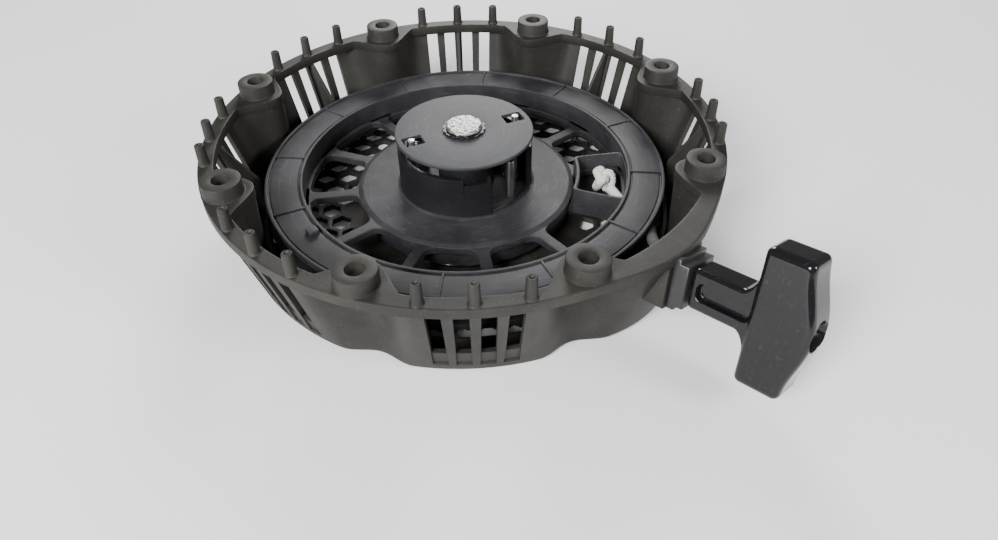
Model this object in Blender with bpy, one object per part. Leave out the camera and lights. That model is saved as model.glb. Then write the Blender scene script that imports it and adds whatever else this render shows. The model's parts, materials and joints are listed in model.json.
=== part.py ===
"""Recoil starter for a small engine, engine side up: a ribbed cup housing with eight bolt bosses, a rope
reel on a steel post, two drum pawls under a friction plate, a spiral spring, and a T handle on its rope."""

import bmesh
import bpy
import numpy as np
from mathutils import Matrix, Vector
from mathutils.geometry import convex_hull_2d

mm = 0.001
gap = 0.3 * mm                    # running or seating gap between two pieces

# Housing: z = 0 is the outer face, and +Z points at the engine
rim_radius = 130 * mm
flange_top = 51 * mm
flange_thickness = 5 * mm
flange_low = flange_top - flange_thickness
boss_count = 8
boss_circle = rim_radius - 10 * mm
boss_radius = 9.3 * mm
boss_hole = 4.1 * mm
boss_height = 7 * mm              # collar above the flange
rim_width = 7.5 * mm
rim_step = 1.4 * mm               # the rim stands proud of the wall under it
rim_edge = 0.6 * mm
base_radius = rim_radius - 14 * mm
edge_chamfer = 1.5 * mm
wall = 2.6 * mm
pocket_top = 19.2 * mm            # depth of the bolt pockets at the flange and at the outer face
pocket_base = 4.5 * mm
pocket_half_top = 11.4            # degrees
pocket_half_base = 9.0            # degrees
shell_steps = 96

# Windows: one between each two bosses, but not at the rope exit
slots_per_window = 4
slot_pitch = 5.0                  # degrees
slot_width = 7.0 * mm
slot_low = 16 * mm
slot_high = flange_top - 4 * mm
recess_low = 5 * mm
recess_depth = 1.0 * mm
fin_thickness = 1.8 * mm
fence_circle = rim_radius - 3.5 * mm
fence_step = 10.03                # degrees between fence pins
fence_radius = 2.5 * mm
fence_height = 10.6 * mm

# Honeycomb face
face_radius = base_radius - 7.6 * mm
face_thickness = 3 * mm
cell_pitch = 12.3 * mm
cell_across = 9.8 * mm
plain_radius = 61 * mm
plain_groove = 0.8 * mm
cells_inner = plain_radius + 1.8 * mm
cells_outer = face_radius - 3.8 * mm
floor_rib_inner = face_radius - 3.2 * mm
floor_rib_width = 2 * mm
floor_rib_top = 9.6 * mm
fin_foot = face_radius - 0.8 * mm

# Centre post and its stack
post_radius = 7 * mm
post_flange_radius = 37 * mm
post_flange_low = face_thickness + gap
post_flange_top = post_flange_low + 2.5 * mm
post_top = flange_top
screw_circle = 31 * mm
screw_radius = 2.4 * mm
screw_head_radius = 4.4 * mm
screw_head_depth = 1.6 * mm
bolt_shank = 3 * mm
bolt_head_radius = 9.5 * mm
bolt_depth = 22 * mm
lock_ring_radius = 11 * mm
lock_ring_thickness = 0.6 * mm
lock_ring_teeth = 16

# Reel
reel_steps = 48
reel_radius = face_radius - 5.2 * mm
ring_width = 19 * mm
reel_inner = reel_radius - ring_width
ring_wall = 2.8 * mm
groove_floor = reel_inner + ring_wall
reel_top = 30 * mm
lip_height = 0.7 * mm
lip_width = 1.7 * mm
groove_high = reel_top - 4.8 * mm
groove_low = groove_high - 10 * mm
reel_low = groove_low - 3 * mm
hub_top = 20.5 * mm
hub_low = hub_top - 3 * mm
hub_radius = 55.3 * mm
cup_low = 7.4 * mm
cup_wall = 2.8 * mm
web_low, web_high = 15.5 * mm, 19.5 * mm
spoke_count = 12
spoke_phase = 6.0                 # degrees
spoke_width = 5.6 * mm
opening_corner = 5 * mm
opening_inner = hub_radius + 1.7 * mm
opening_outer = reel_inner - 2 * mm
rib_phase = 21.5                  # degrees
rib_width = 1.2 * mm
drum_outer = 34.6 * mm
drum_inner = drum_outer - 2.8 * mm
drum_top = flange_top - 8 * mm
drum_step = 3.4 * mm
bush_inner = post_radius + gap
bush_outer = bush_inner + 2.7 * mm
sleeve_inner = bush_outer + gap
sleeve_outer = sleeve_inner + 4 * mm
sleeve_top = drum_top - 2 * mm
pocket_from, pocket_to = -24.0, 6.0    # degrees that the knot box spans
knot_box_inner = 60 * mm
knot_box_top = reel_top - 2.5 * mm
knot_box_floor = 14.4 * mm
knot_box_wall = 1.8 * mm
knot_box_side = 1.4 * mm
notch_angle = -15.5               # where the spring's outer end hooks into the cup
notch_half = 7 * mm

# Return spring and its cover
spring_low = 8.3 * mm
spring_high = hub_low - 1.6 * mm
spring_inner = post_radius + 1.2 * mm
spring_outer = hub_radius - cup_wall - 2 * mm
spring_turns = 7
spring_strip = 0.9 * mm
cover_low = post_flange_top + 0.4 * mm
cover_high = cup_low - gap

# Pawls, and the plate over them. Angles turn from +X
pawl_pivot = Vector((24.0 * mm, 0.8 * mm, 0))
pawl_nose = Vector((21.5 * mm, -22.3 * mm, 0))
pawl_peg = Vector((26.6 * mm, 9.7 * mm, 0))
pawl_low = 24.5 * mm
pawl_high = drum_top + 3 * mm
pawl_eye = 5.2 * mm
pawl_arm = 2.9 * mm
nose_radius = 2.3 * mm
lobe_radius = 2.8 * mm
peg_radius = 1.8 * mm
pin_radius = 2.3 * mm
opening_from, opening_to = -70.0, -12.0   # drum wall left open at the first pawl
step_from, step_to = -93.0, -72.5
plate_radius = 35.2 * mm
plate_low = flange_top - 2 * mm
plate_high = plate_low + 1.8 * mm
window_angle = 20.0
window_inner, window_outer = 22.0 * mm, 32.3 * mm
window_width = 8.4 * mm
washer_thickness = 0.8 * mm
washer_outer = 13.5 * mm
drag_wire = 0.8 * mm
drag_radius = 10.8 * mm
return_wire = 0.5 * mm
return_radius = 4.4 * mm

# Rope and its exit
rope = 2.75 * mm                  # rope radius
winding_height = groove_high - gap - rope
layer_one = groove_floor + gap + rope
layer_two = layer_one + 2 * rope + 0.5 * mm
knot_angle = -5.0
knot_circle = 71 * mm
knot_size = Vector((6.6, 8.0, 5.8)) * mm
anchor_angle = -26.0              # the rope reaches its first layer here
exit_angle = -48.6
exit_tilt = 6.5                   # degrees up
exit_twist = 13.3                 # degrees the T leans from upright
exit_radius = rim_radius + 2 * mm
exit_height = flange_top - 15 * mm
exit_swell_top = 5 * mm
exit_swell_base = 4 * mm
exit_swell_width = 13.0           # degrees
pad_width, pad_height = 23.5 * mm, 25 * mm
pad_end = 2.7 * mm                # along the handle's axis, from its anchor on the wall
guide_start, guide_end = 3.0 * mm, 10.5 * mm
guide_width, guide_height = 20 * mm, 22 * mm
guide_step = 3.5 * mm             # the foot, which is taller than the head on both sides
guide_bore = rope + 0.6 * mm
spigot_radius = 6.4 * mm
spigot_start = -6 * mm
rope_corner = -10 * mm
rope_bend = 14 * mm
drain_hole = 3.2 * mm
drain_circle = base_radius - 2.7 * mm

# Handle, along its own axis
stem_start = 11 * mm
grip_start = 38 * mm
grip_end = 58 * mm
grip_bulge = 6 * mm
grip_half = 31 * mm
grip_width = 17 * mm
grip_round = 3 * mm
stem_half = 9.3 * mm
stem_width = 14 * mm
stem_groove = 4.2 * mm
stem_groove_depth = 3.0 * mm
handle_bore = rope + 0.6 * mm
chamber_radius = 6.6 * mm
chamber_start = 46 * mm
washer_high = chamber_start + gap + 0.8 * mm


def polar(radius, degrees, z=0.0):
    a = np.radians(degrees)
    return Vector((radius * np.cos(a), radius * np.sin(a), z))


def painted(name, color, roughness, metallic=0.0):
    made = bpy.data.materials.new(name)
    made.use_nodes = True
    shader = made.node_tree.nodes["Principled BSDF"]
    shader.inputs["Base Color"].default_value = (*color, 1)
    shader.inputs["Roughness"].default_value = roughness
    shader.inputs["Metallic"].default_value = metallic
    return made


def housing_plastic():
    return painted("housing_plastic", (0.075, 0.070, 0.055), 0.6)


def moulded_black():
    return painted("moulded_black", (0.022, 0.023, 0.025), 0.4)


def reel_plastic():
    return painted("reel_plastic", (0.05, 0.051, 0.055), 0.38)


def handle_plastic():
    return painted("handle_plastic", (0.008, 0.008, 0.009), 0.18)


def turned_steel():
    return painted("turned_steel", (0.45, 0.45, 0.46), 0.35, 1.0)


def rough_steel():
    return painted("rough_steel", (0.62, 0.62, 0.61), 0.5, 1.0)


def dark_steel():
    return painted("dark_steel", (0.06, 0.06, 0.065), 0.45, 1.0)


def coated_steel():
    return painted("coated_steel", (0.035, 0.036, 0.04), 0.42)


def spring_steel():
    return painted("spring_steel", (0.28, 0.29, 0.32), 0.3, 1.0)


def bearing_bronze():
    return painted("bearing_bronze", (0.36, 0.22, 0.1), 0.4, 1.0)


def braided_rope():
    return painted("braided_rope", (0.55, 0.56, 0.55), 0.85)


def empty(name, location, parent=None):
    made = bpy.data.objects.new(name, None)
    made.parent = parent
    made.matrix_world = location if isinstance(location, Matrix) else Matrix.Translation(location)
    bpy.context.collection.objects.link(made)
    return made


def finished(name, bm, finish=None, parent=None, at=None):
    """Turns bm into an object, with its faces outwards. Without a finish it is a hidden cutter or filler."""
    bmesh.ops.remove_doubles(bm, verts=bm.verts, dist=1e-7)
    bmesh.ops.recalc_face_normals(bm, faces=bm.faces)
    mesh = bpy.data.meshes.new(name)
    bm.to_mesh(mesh)
    bm.free()
    made = bpy.data.objects.new(name, mesh)
    bpy.context.collection.objects.link(made)
    made.parent = parent
    if at:
        made.location = at
    if finish:
        mesh.materials.append(finish)
        mesh.shade_smooth()
        mesh.set_sharp_from_angle(angle=np.radians(35))
    else:
        made.hide_render = True
        made.display_type = "WIRE"
    return made


def boolean(target, tool, operation):
    made = target.modifiers.new(f"{operation.title()} {tool.name}", "BOOLEAN")
    made.operation, made.object, made.solver = operation, tool, "EXACT"


def add_prism(bm, outline, z0, z1, move=None, rounding=0.0):
    """Adds the outline, a list of (x, y), extruded from z0 to z1, with its two ends' edges rounded."""
    face = bm.faces.new([bm.verts.new((p[0], p[1], z0)) for p in outline])
    grown = bmesh.ops.extrude_face_region(bm, geom=[face])["geom"]
    top = [v for v in grown if isinstance(v, bmesh.types.BMVert)]
    far = [f for f in grown if isinstance(f, bmesh.types.BMFace)]
    bmesh.ops.translate(bm, verts=top, vec=(0, 0, z1 - z0))
    verts = set(face.verts) | set(top)
    if rounding:
        edges = list(face.edges) + list(far[0].edges)
        made = bmesh.ops.bevel(bm, geom=edges, offset=rounding, segments=2, profile=0.5, affect="EDGES")
        verts = {v for v in verts if v.is_valid} | set(made["verts"])
    if move:
        bmesh.ops.transform(bm, matrix=move, verts=list(verts))


def add_box(bm, low, high, move=None):
    corners = [(low[0], low[1]), (high[0], low[1]), (high[0], high[1]), (low[0], high[1])]
    add_prism(bm, corners, low[2], high[2], move)


def ring_of_points(radius, sides, centre=(0, 0)):
    angles = np.arange(sides) * 2 * np.pi / sides
    return [(centre[0] + radius * np.cos(a), centre[1] + radius * np.sin(a)) for a in angles]


def add_disc(bm, radius, z0, z1, sides, centre=(0, 0), move=None):
    add_prism(bm, ring_of_points(radius, sides, centre), z0, z1, move)


def add_sector(bm, r0, r1, a0, a1, z0, z1, steps=6):
    """Adds a block between two radii and two angles in degrees."""
    sweep = np.linspace(a0, a1, steps + 1)
    outline = [polar(r1, a)[:2] for a in sweep] + [polar(r0, a)[:2] for a in sweep[::-1]]
    add_prism(bm, outline, z0, z1)


def add_turned(bm, profile, steps, closed=True, move=None):
    """The profile, a list of (radius, z), turned about Z. An open one starts and ends on the axis."""
    verts = [bm.verts.new((r, 0, z)) for r, z in profile]
    edges = [bm.edges.new(pair) for pair in zip(verts, verts[1:] + (verts[:1] if closed else []))]
    before = set(bm.verts) - set(verts)
    bmesh.ops.spin(bm, geom=verts + edges, axis=(0, 0, 1), cent=(0, 0, 0), angle=2 * np.pi, steps=steps)
    made = [v for v in bm.verts if v not in before]
    bmesh.ops.remove_doubles(bm, verts=made, dist=3e-6)
    if move:
        bmesh.ops.transform(bm, matrix=move, verts=[v for v in bm.verts if v not in before])


def turned(name, profile, steps, finish=None, parent=None, closed=True, at=None):
    bm = bmesh.new()
    add_turned(bm, profile, steps, closed)
    return finished(name, bm, finish, parent, at)


def about_z(degrees):
    return Matrix.Rotation(np.radians(degrees), 4, "Z")


along_x = Matrix.Rotation(np.pi / 2, 4, "Y")     # lays a prism's Z along +X


def rounded(corners, radii, steps=3, closed=True):
    """The corners, in 2 or 3 dimensions, with each cut back to an arc of its own radius."""
    made = []
    for i, (corner, radius) in enumerate(zip(corners, radii)):
        if not radius or (not closed and i in (0, len(corners) - 1)):
            made.append(corner)
            continue
        back = (corners[i - 1] - corner).normalized()
        on = (corners[(i + 1) % len(corners)] - corner).normalized()
        half = back.angle(on) / 2
        centre = corner + (back + on).normalized() * (radius / np.sin(half))
        reach = radius / np.tan(half)
        first, last = corner + back * reach - centre, corner + on * reach - centre
        made += [centre + first.slerp(last, k / steps).normalized() * radius for k in range(steps + 1)]
    return made


def tube(name, points, radius, finish, parent=None, resolution=1):
    """A round rod along the points, with closed ends."""
    curve = bpy.data.curves.new(name, "CURVE")
    curve.dimensions = "3D"
    curve.bevel_depth, curve.bevel_resolution, curve.use_fill_caps = radius, resolution, True
    spline = curve.splines.new("POLY")
    spline.points.add(len(points) - 1)
    for point, place in zip(spline.points, points):
        point.co = (*place, 1)
    spline.use_smooth = True
    curve.materials.append(finish)
    made = bpy.data.objects.new(name, curve)
    bpy.context.collection.objects.link(made)
    made.parent = parent
    return made


def helix(radius, low, high, turns, per_turn, start=0.0, centre=(0, 0)):
    shares = np.linspace(0, 1, int(turns * per_turn) + 1)
    around = start + turns * 360 * shares
    return [Vector((*centre, 0)) + polar(radius, a, low + (high - low) * s) for a, s in zip(around, shares)]


def smooth_step(x):
    x = np.clip(x, 0, 1)
    return x * x * (3 - 2 * x)


def exit_frame(along=0.0):
    """The handle's frame: +X outwards along its axis, +Y along the T's bar, and its origin on the wall."""
    tilt = np.radians(exit_tilt)
    axis = polar(np.cos(tilt), exit_angle, np.sin(tilt))
    sideways = polar(1, exit_angle + 90)
    lean = np.radians(exit_twist)
    bar = axis.cross(sideways) * np.cos(lean) + sideways * np.sin(lean)
    columns = Matrix((axis, bar, axis.cross(bar))).transposed().to_4x4()
    return Matrix.Translation(polar(exit_radius, exit_angle, exit_height) + axis * along) @ columns


def exit_point(along):
    return exit_frame(along).translation


def pocket_share(angles, half):
    """1 at the middle of a bolt pocket, 0 outside it, and a cosine in between."""
    spacing = 360 / boss_count
    off = np.abs(angles % spacing - spacing / 2)
    return 0.5 + 0.5 * np.cos(np.pi * np.clip(off / half, 0, 1))


def exit_share(angles):
    off = (angles - exit_angle + 180) % 360 - 180
    return np.exp(-(off / exit_swell_width) ** 2)


def wall_radius(angles, z):
    """The wall's outer radius: it leans out towards the flange, and dips in at each bolt pocket."""
    low = base_radius - pocket_base * pocket_share(angles, pocket_half_base)
    low += exit_swell_base * exit_share(angles)
    high = rim_radius - rim_step - pocket_top * pocket_share(angles, pocket_half_top)
    high += exit_swell_top * exit_share(angles)
    return low + (high - low) * z / flange_low


def loop_at(angles, radius):
    a = np.radians(angles)
    return np.stack([radius * np.cos(a), radius * np.sin(a)], 1)


def inset_loop(loop, distance):
    along = np.roll(loop, -1, 0) - np.roll(loop, 1, 0)
    inward = np.stack([-along[:, 1], along[:, 0]], 1) / np.linalg.norm(along, axis=1)[:, None]
    return loop + inward * distance


def window_angles():
    """Middles of the slotted windows: all but the one at the rope exit."""
    return [k * 360 / boss_count for k in range(boss_count - 1)]


def boss_angles():
    return [(k + 0.5) * 360 / boss_count for k in range(boss_count)]


def add_shell_skin(bm):
    """The shell's section, carried round the axis: outer wall, rim, flange, inner wall, and floor lip."""
    angles = np.arange(shell_steps) * 360 / shell_steps
    rim = rim_radius + exit_swell_top * exit_share(angles)
    inner_high = inset_loop(loop_at(angles, wall_radius(angles, flange_low)), wall)
    inner_low = inset_loop(loop_at(angles, wall_radius(angles, face_thickness)), wall)
    reach = np.linalg.norm(inner_high, axis=1)
    flange = np.minimum(reach - 0.4 * mm, rim_radius - rim_width)
    flange_loop = inner_high * (flange / reach)[:, None]
    lip = loop_at(angles, face_radius + gap)
    section = [
        (inset_loop(loop_at(angles, wall_radius(angles, 0)), edge_chamfer), 0),
        (loop_at(angles, wall_radius(angles, edge_chamfer)), edge_chamfer),
        (loop_at(angles, wall_radius(angles, flange_low)), flange_low),
        (loop_at(angles, rim), flange_low),
        (loop_at(angles, rim), flange_top - rim_edge),
        (loop_at(angles, rim - rim_edge), flange_top),
        (flange_loop, flange_top),
        (flange_loop, flange_low),
        (inner_high, flange_low),
        (inner_low, face_thickness),
        (lip, face_thickness),
        (lip, 0),
    ]
    rows = [[bm.verts.new((x, y, z)) for x, y in loop] for loop, z in section]
    for row, above in zip(rows, rows[1:] + rows[:1]):
        for i in range(shell_steps):
            j = (i + 1) % shell_steps
            bm.faces.new((row[i], row[j], above[j], above[i]))


def lean_radius(z):
    """The outer wall's radius at a window."""
    return float(wall_radius(np.array([0.0]), z)[0])


def add_exit_pad(bm):
    """A flat pad on the wall, square to the handle, that the rope guide sits on."""
    half = pad_height / 2
    heights = np.array([exit_height - half, exit_height + half])
    foot = wall_radius(np.full(2, exit_angle), heights) - exit_radius
    sunk = wall - 0.6 * mm
    outline = [(foot[0] - sunk, -half), (pad_end, -half), (pad_end, half), (foot[1] - sunk, half)]
    add_prism(bm, outline, -pad_width / 2, pad_width / 2, exit_frame())


def shell_additions():
    """Bolt collars, fence pins with a dimple each, fins behind the windows, and the pad at the exit."""
    bm = bmesh.new()
    for angle in boss_angles():
        middle = polar(boss_circle, angle)
        add_disc(bm, boss_radius, flange_low + 2 * mm, flange_top + boss_height, 20, middle)
    tip = flange_top + fence_height
    pin = [(0, flange_low + 2 * mm), (fence_radius, flange_low + 2 * mm), (fence_radius, tip)]
    pin += [(fence_radius * 0.4, tip), (0, tip - 0.8 * mm)]
    middle = 0.5 * wall
    fin = [(lean_radius(2 * mm) - middle, 2 * mm), (lean_radius(flange_low) - middle, flange_low + 0.6 * mm)]
    fin += [(rim_radius - rim_width + 0.5 * mm, flange_low + 0.6 * mm), (fin_foot, 25 * mm)]
    fin += [(fin_foot, face_thickness + 1 * mm), (face_radius + 0.9 * mm, face_thickness + 1 * mm)]
    fin += [(face_radius + 0.9 * mm, 2 * mm)]
    upright = Matrix.Rotation(np.pi / 2, 4, "X")
    for angle in window_angles():
        for k in (-1, 0, 1):
            place = Matrix.Translation(polar(fence_circle, angle + k * fence_step))
            add_turned(bm, pin, 8, closed=False, move=place)
        add_prism(bm, fin, -fin_thickness / 2, fin_thickness / 2, about_z(angle) @ upright)
    add_exit_pad(bm)
    return finished("shell_additions", bm)


def shell_cuts():
    """Bolt holes, window slots with the shallow recess under each, the guide's hole, and a drain hole."""
    bm = bmesh.new()
    for angle in boss_angles():
        top = flange_top + boss_height + 2 * mm
        add_disc(bm, boss_hole, flange_low - 8 * mm, top, 16, polar(boss_circle, angle))
    far = rim_radius + 10 * mm
    near = face_radius - 6 * mm
    slot = [(near, slot_low), (near, slot_high), (far, slot_high), (far, recess_low)]
    slot += [(lean_radius(z) - recess_depth, z) for z in (recess_low, slot_low)]
    upright = Matrix.Rotation(np.pi / 2, 4, "X")
    for angle in window_angles():
        for k in range(slots_per_window):
            turn = about_z(angle + (k - (slots_per_window - 1) / 2) * slot_pitch)
            add_prism(bm, slot, -slot_width / 2, slot_width / 2, turn @ upright)
    add_disc(bm, spigot_radius + gap, -14 * mm, 8 * mm, 20, move=exit_frame() @ along_x)
    add_disc(bm, drain_hole, -2 * mm, face_thickness + 2 * mm, 12, polar(drain_circle, exit_angle - 9))
    return finished("shell_cuts", bm)


def guide_seat():
    """Cuts the rim back flat in front of the pad."""
    bm = bmesh.new()
    half = pad_width / 2 + 0.5 * mm
    low = (pad_end, -pad_height / 2 - 2 * mm, -half)
    add_box(bm, low, (pad_end + 20 * mm, pad_height / 2 + 4 * mm, half), exit_frame())
    return finished("guide_seat", bm)


def housing_shell(finish):
    bm = bmesh.new()
    add_shell_skin(bm)
    made = finished("housing_shell", bm, finish)
    boolean(made, shell_additions(), "UNION")
    boolean(made, guide_seat(), "DIFFERENCE")
    boolean(made, shell_cuts(), "DIFFERENCE")


def cell_centres():
    """Every hexagon whose middle lies well inside the meshed ring."""
    row_step = cell_pitch * np.sqrt(3) / 2
    reach = int(cells_outer / row_step) + 2
    found = []
    for row in range(-reach, reach + 1):
        for column in range(-reach, reach + 1):
            x, y = (column + 0.5 * (row % 2)) * cell_pitch, row * row_step
            if cells_inner + 1.2 * mm < np.hypot(x, y) < cells_outer - 1.2 * mm:
                found.append((x, y))
    return found


def clipped_hexagon(centre):
    """A hexagon with the corners that pass the meshed ring's edges drawn back to them."""
    corners = []
    for k in range(6):
        corner = Vector(centre) + Vector(polar(cell_across / np.sqrt(3), 60 * k + 30)[:2])
        corners.append(corner * (min(max(corner.length, cells_inner), cells_outer) / corner.length))
    return corners


def honeycomb_face(finish):
    bm = bmesh.new()
    groove = [(plain_radius - 1 * mm, 0), (plain_radius - 1 * mm, plain_groove)]
    groove += [(plain_radius + 1 * mm, plain_groove), (plain_radius + 1 * mm, 0)]
    outer = floor_rib_inner + floor_rib_width
    rib = [(outer, face_thickness), (outer, floor_rib_top), (floor_rib_inner, floor_rib_top)]
    rib += [(floor_rib_inner, face_thickness)]
    rim = [(face_radius, 0), (face_radius, face_thickness)]
    add_turned(bm, [(0, 0)] + groove + rim + rib + [(0, face_thickness)], 60, closed=False)
    made = finished("honeycomb_face", bm, finish)
    cuts = bmesh.new()
    for centre in cell_centres():
        add_prism(cuts, clipped_hexagon(centre), -1 * mm, face_thickness + 1 * mm)
    for k in range(3):
        place = polar(screw_circle, 90 + 120 * k)
        sunk = screw_head_depth + 2 * gap
        profile = [(0, -1 * mm), (screw_head_radius + gap, -1 * mm), (screw_head_radius + gap, sunk)]
        profile += [(screw_radius + gap, sunk), (screw_radius + gap, face_thickness + 1 * mm)]
        profile += [(0, face_thickness + 1 * mm)]
        add_turned(cuts, profile, 12, closed=False, move=Matrix.Translation(place))
    boolean(made, finished("face_cuts", cuts), "DIFFERENCE")


def centre_post(finish):
    bore, foot = bolt_shank + gap, post_top - bolt_depth
    profile = [(0, post_flange_low), (post_flange_radius, post_flange_low)]
    profile += [(post_flange_radius, post_flange_top), (post_radius, post_flange_top)]
    profile += [(post_radius, post_top), (bore, post_top), (bore, foot), (0, foot)]
    made = turned("centre_post", profile, 32, finish, closed=False)
    bm = bmesh.new()
    for k in range(3):
        place = polar(screw_circle, 90 + 120 * k)
        add_disc(bm, screw_radius + gap, post_flange_low - 1 * mm, post_flange_top + 1 * mm, 12, place)
    boolean(made, finished("post_cuts", bm), "DIFFERENCE")


def post_screws(finish):
    """From the outer face: a head with a driver's slot, and a shank up into the post's flange."""
    head, high = screw_head_depth + gap, post_flange_top - gap
    profile = [(0, gap), (screw_head_radius, gap), (screw_head_radius, head), (screw_radius, head)]
    profile += [(screw_radius, high), (0, high)]
    half_long, half_wide = 2.6 * mm, 0.5 * mm
    for k in range(3):
        place = polar(screw_circle, 90 + 120 * k)
        screw = turned(f"post_screw_{k + 1}", profile, 12, finish, closed=False, at=place)
        bm = bmesh.new()
        add_box(bm, (-half_long, -half_wide, -1 * mm), (half_long, half_wide, 1.1 * mm))
        boolean(screw, finished(f"driver_slot_{k + 1}", bm, at=place), "DIFFERENCE")


def lock_ring(finish):
    low = post_top + gap
    outline = []
    for k in range(lock_ring_teeth):
        for share, radius in ((0, 0.93), (0.25, 0.93), (0.4, 1), (0.85, 1)):
            outline.append(polar(lock_ring_radius * radius, (k + share) * 360 / lock_ring_teeth)[:2])
    bm = bmesh.new()
    add_prism(bm, outline, low, low + lock_ring_thickness)
    made = finished("lock_ring", bm, finish)
    bm = bmesh.new()
    add_disc(bm, bolt_shank + gap, low - 1 * mm, low + 2 * mm, 16)
    boolean(made, finished("lock_ring_bore", bm), "DIFFERENCE")


def centre_bolt(finish):
    low = post_top + lock_ring_thickness + 2 * gap
    foot = post_top - bolt_depth + gap
    profile = [(0, foot), (bolt_shank, foot), (bolt_shank, low), (bolt_head_radius, low)]
    profile += [(bolt_head_radius, low + 1.1 * mm), (bolt_head_radius - 0.7 * mm, low + 1.7 * mm)]
    profile += [(0, low + 1.9 * mm)]
    turned("centre_bolt", profile, 24, finish, closed=False)


def spoke_opening(k):
    """The opening after spoke k, with rounded corners: straight along the spokes, and curved at both ends."""
    first, last = spoke_phase + 30 * k, spoke_phase + 30 * (k + 1)
    near = np.degrees(np.arcsin(spoke_width / 2 / opening_inner))
    far = np.degrees(np.arcsin(spoke_width / 2 / opening_outer))
    corners = [polar(opening_inner, last - near), polar(opening_inner, (first + last) / 2)]
    corners += [polar(opening_inner, first + near), polar(opening_outer, first + far)]
    corners += [polar(opening_outer, (first + last) / 2), polar(opening_outer, last - far)]
    radii = (opening_corner, 0, opening_corner, opening_corner, 0, opening_corner)
    return rounded([c.to_2d().to_3d() for c in corners], radii, steps=2)


def reel_web():
    """The twelve spokes, with rounded openings between them but where the knot box sits."""
    inner, outer = hub_radius - 1 * mm, reel_inner + 1.4 * mm
    section = [(inner, web_low), (outer, web_low), (outer, web_high), (inner, web_high)]
    web = turned("reel_web", section, reel_steps)
    bm = bmesh.new()
    for k in range(spoke_count - 1):
        add_prism(bm, spoke_opening(k), web_low - 1 * mm, web_high + 1 * mm)
    boolean(web, finished("spoke_openings", bm), "DIFFERENCE")
    return web


def rope_anchor():
    """From the knot through the ring's wall to the first layer of rope: start, and where it meets it."""
    return polar(knot_circle, knot_angle, winding_height), polar(layer_one, anchor_angle, winding_height)


def add_block_and_ribs(bm):
    """Thin ribs across the ring's top between its lips, and one small block."""
    low, high = reel_top - lip_height - 1 * mm, reel_top - 0.1 * mm
    inner, outer = reel_inner + 1 * mm, reel_radius - 1 * mm
    for k in range(spoke_count):
        angle = rib_phase + 30 * k
        if abs((angle + 128.5 + 180) % 360 - 180) > 1:
            add_box(bm, (inner, -rib_width / 2, low), (outer, rib_width / 2, high), about_z(angle))
    block = ((reel_inner + 3 * mm, -4.5 * mm, low), (reel_inner + 11 * mm, 4.5 * mm, reel_top + 0.4 * mm))
    add_box(bm, *block, about_z(-145))


def add_pawl_bosses(bm):
    for turn in (0, 180):
        centre = about_z(turn) @ pawl_pivot
        add_disc(bm, 3.5 * mm, hub_top - 1 * mm, pawl_low - gap, 12, centre)


def reel(finish, parent):
    hub = [(sleeve_inner, hub_low), (sleeve_inner, sleeve_top)]
    hub += [(sleeve_outer, sleeve_top), (sleeve_outer, hub_top)]
    hub += [(drum_inner, hub_top), (drum_inner, drum_top), (drum_outer, drum_top)]
    hub += [(drum_outer, hub_top + 1.5 * mm), (drum_outer + 1.5 * mm, hub_top), (hub_radius, hub_top)]
    hub += [(hub_radius, cup_low), (hub_radius - cup_wall, cup_low), (hub_radius - cup_wall, hub_low)]
    made = turned("reel", hub, reel_steps, finish, parent)
    plate = reel_top - lip_height
    ring = [(reel_inner, reel_low), (reel_inner, reel_top), (reel_inner + lip_width, reel_top)]
    ring += [(reel_inner + lip_width, plate), (reel_radius - lip_width, plate)]
    ring += [(reel_radius - lip_width, reel_top)]
    ring += [(reel_radius, reel_top), (reel_radius, groove_high + 1.8 * mm), (groove_floor, groove_high)]
    ring += [(groove_floor, groove_low), (reel_radius, groove_low), (reel_radius, reel_low)]
    boolean(made, reel_web(), "UNION")
    boolean(made, turned("reel_ring", ring, reel_steps), "UNION")
    bm = bmesh.new()
    add_sector(bm, knot_box_inner - knot_box_wall, groove_floor - 1 * mm, pocket_from, pocket_to,
               knot_box_floor - knot_box_wall, knot_box_top, 4)
    add_pawl_bosses(bm)
    boolean(made, finished("knot_box_block", bm), "UNION")
    bm = bmesh.new()
    add_block_and_ribs(bm)
    boolean(made, finished("ring_details", bm), "UNION")
    boolean(made, reel_cuts(), "DIFFERENCE")
    boolean(made, rope_hole(), "DIFFERENCE")


def reel_cuts():
    """The drum's openings and steps, the knot box's hollow, pin holes, and the spring's notch."""
    bm = bmesh.new()
    inner, outer, high = drum_inner - 1 * mm, drum_outer + 1 * mm, drum_top + 2 * mm
    for turn in (0, 180):
        low = hub_top + 0.8 * mm
        add_sector(bm, inner, outer, opening_from + turn, opening_to + turn, low, high)
        add_sector(bm, inner, outer, step_from + turn, step_to + turn, drum_top - drum_step, high, 3)
        add_disc(bm, pin_radius + gap, hub_low - 1 * mm, pawl_low + 1 * mm, 12, about_z(turn) @ pawl_pivot)
    side = np.degrees(knot_box_side / knot_circle)
    add_sector(bm, knot_box_inner, reel_inner - 0.5 * mm, pocket_from + side, pocket_to - side,
               knot_box_floor, reel_top + 2 * mm, 4)
    low = (hub_radius - cup_wall - 1.5 * mm, -notch_half, cup_low + 1.4 * mm)
    high = (hub_radius + 1.6 * mm, notch_half, hub_top + 1 * mm)
    add_box(bm, low, high, about_z(notch_angle))
    return finished("reel_cuts", bm)


def rope_hole():
    """From inside the knot box through the ring's wall into its groove."""
    start, end = rope_anchor()
    path = end - start
    level = Matrix.Translation(start) @ path.to_track_quat("X", "Z").to_matrix().to_4x4()
    bm = bmesh.new()
    add_disc(bm, rope + 0.8 * mm, path.length * 0.3, path.length * 1.02, 12, move=level @ along_x)
    return finished("rope_hole", bm)


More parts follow.
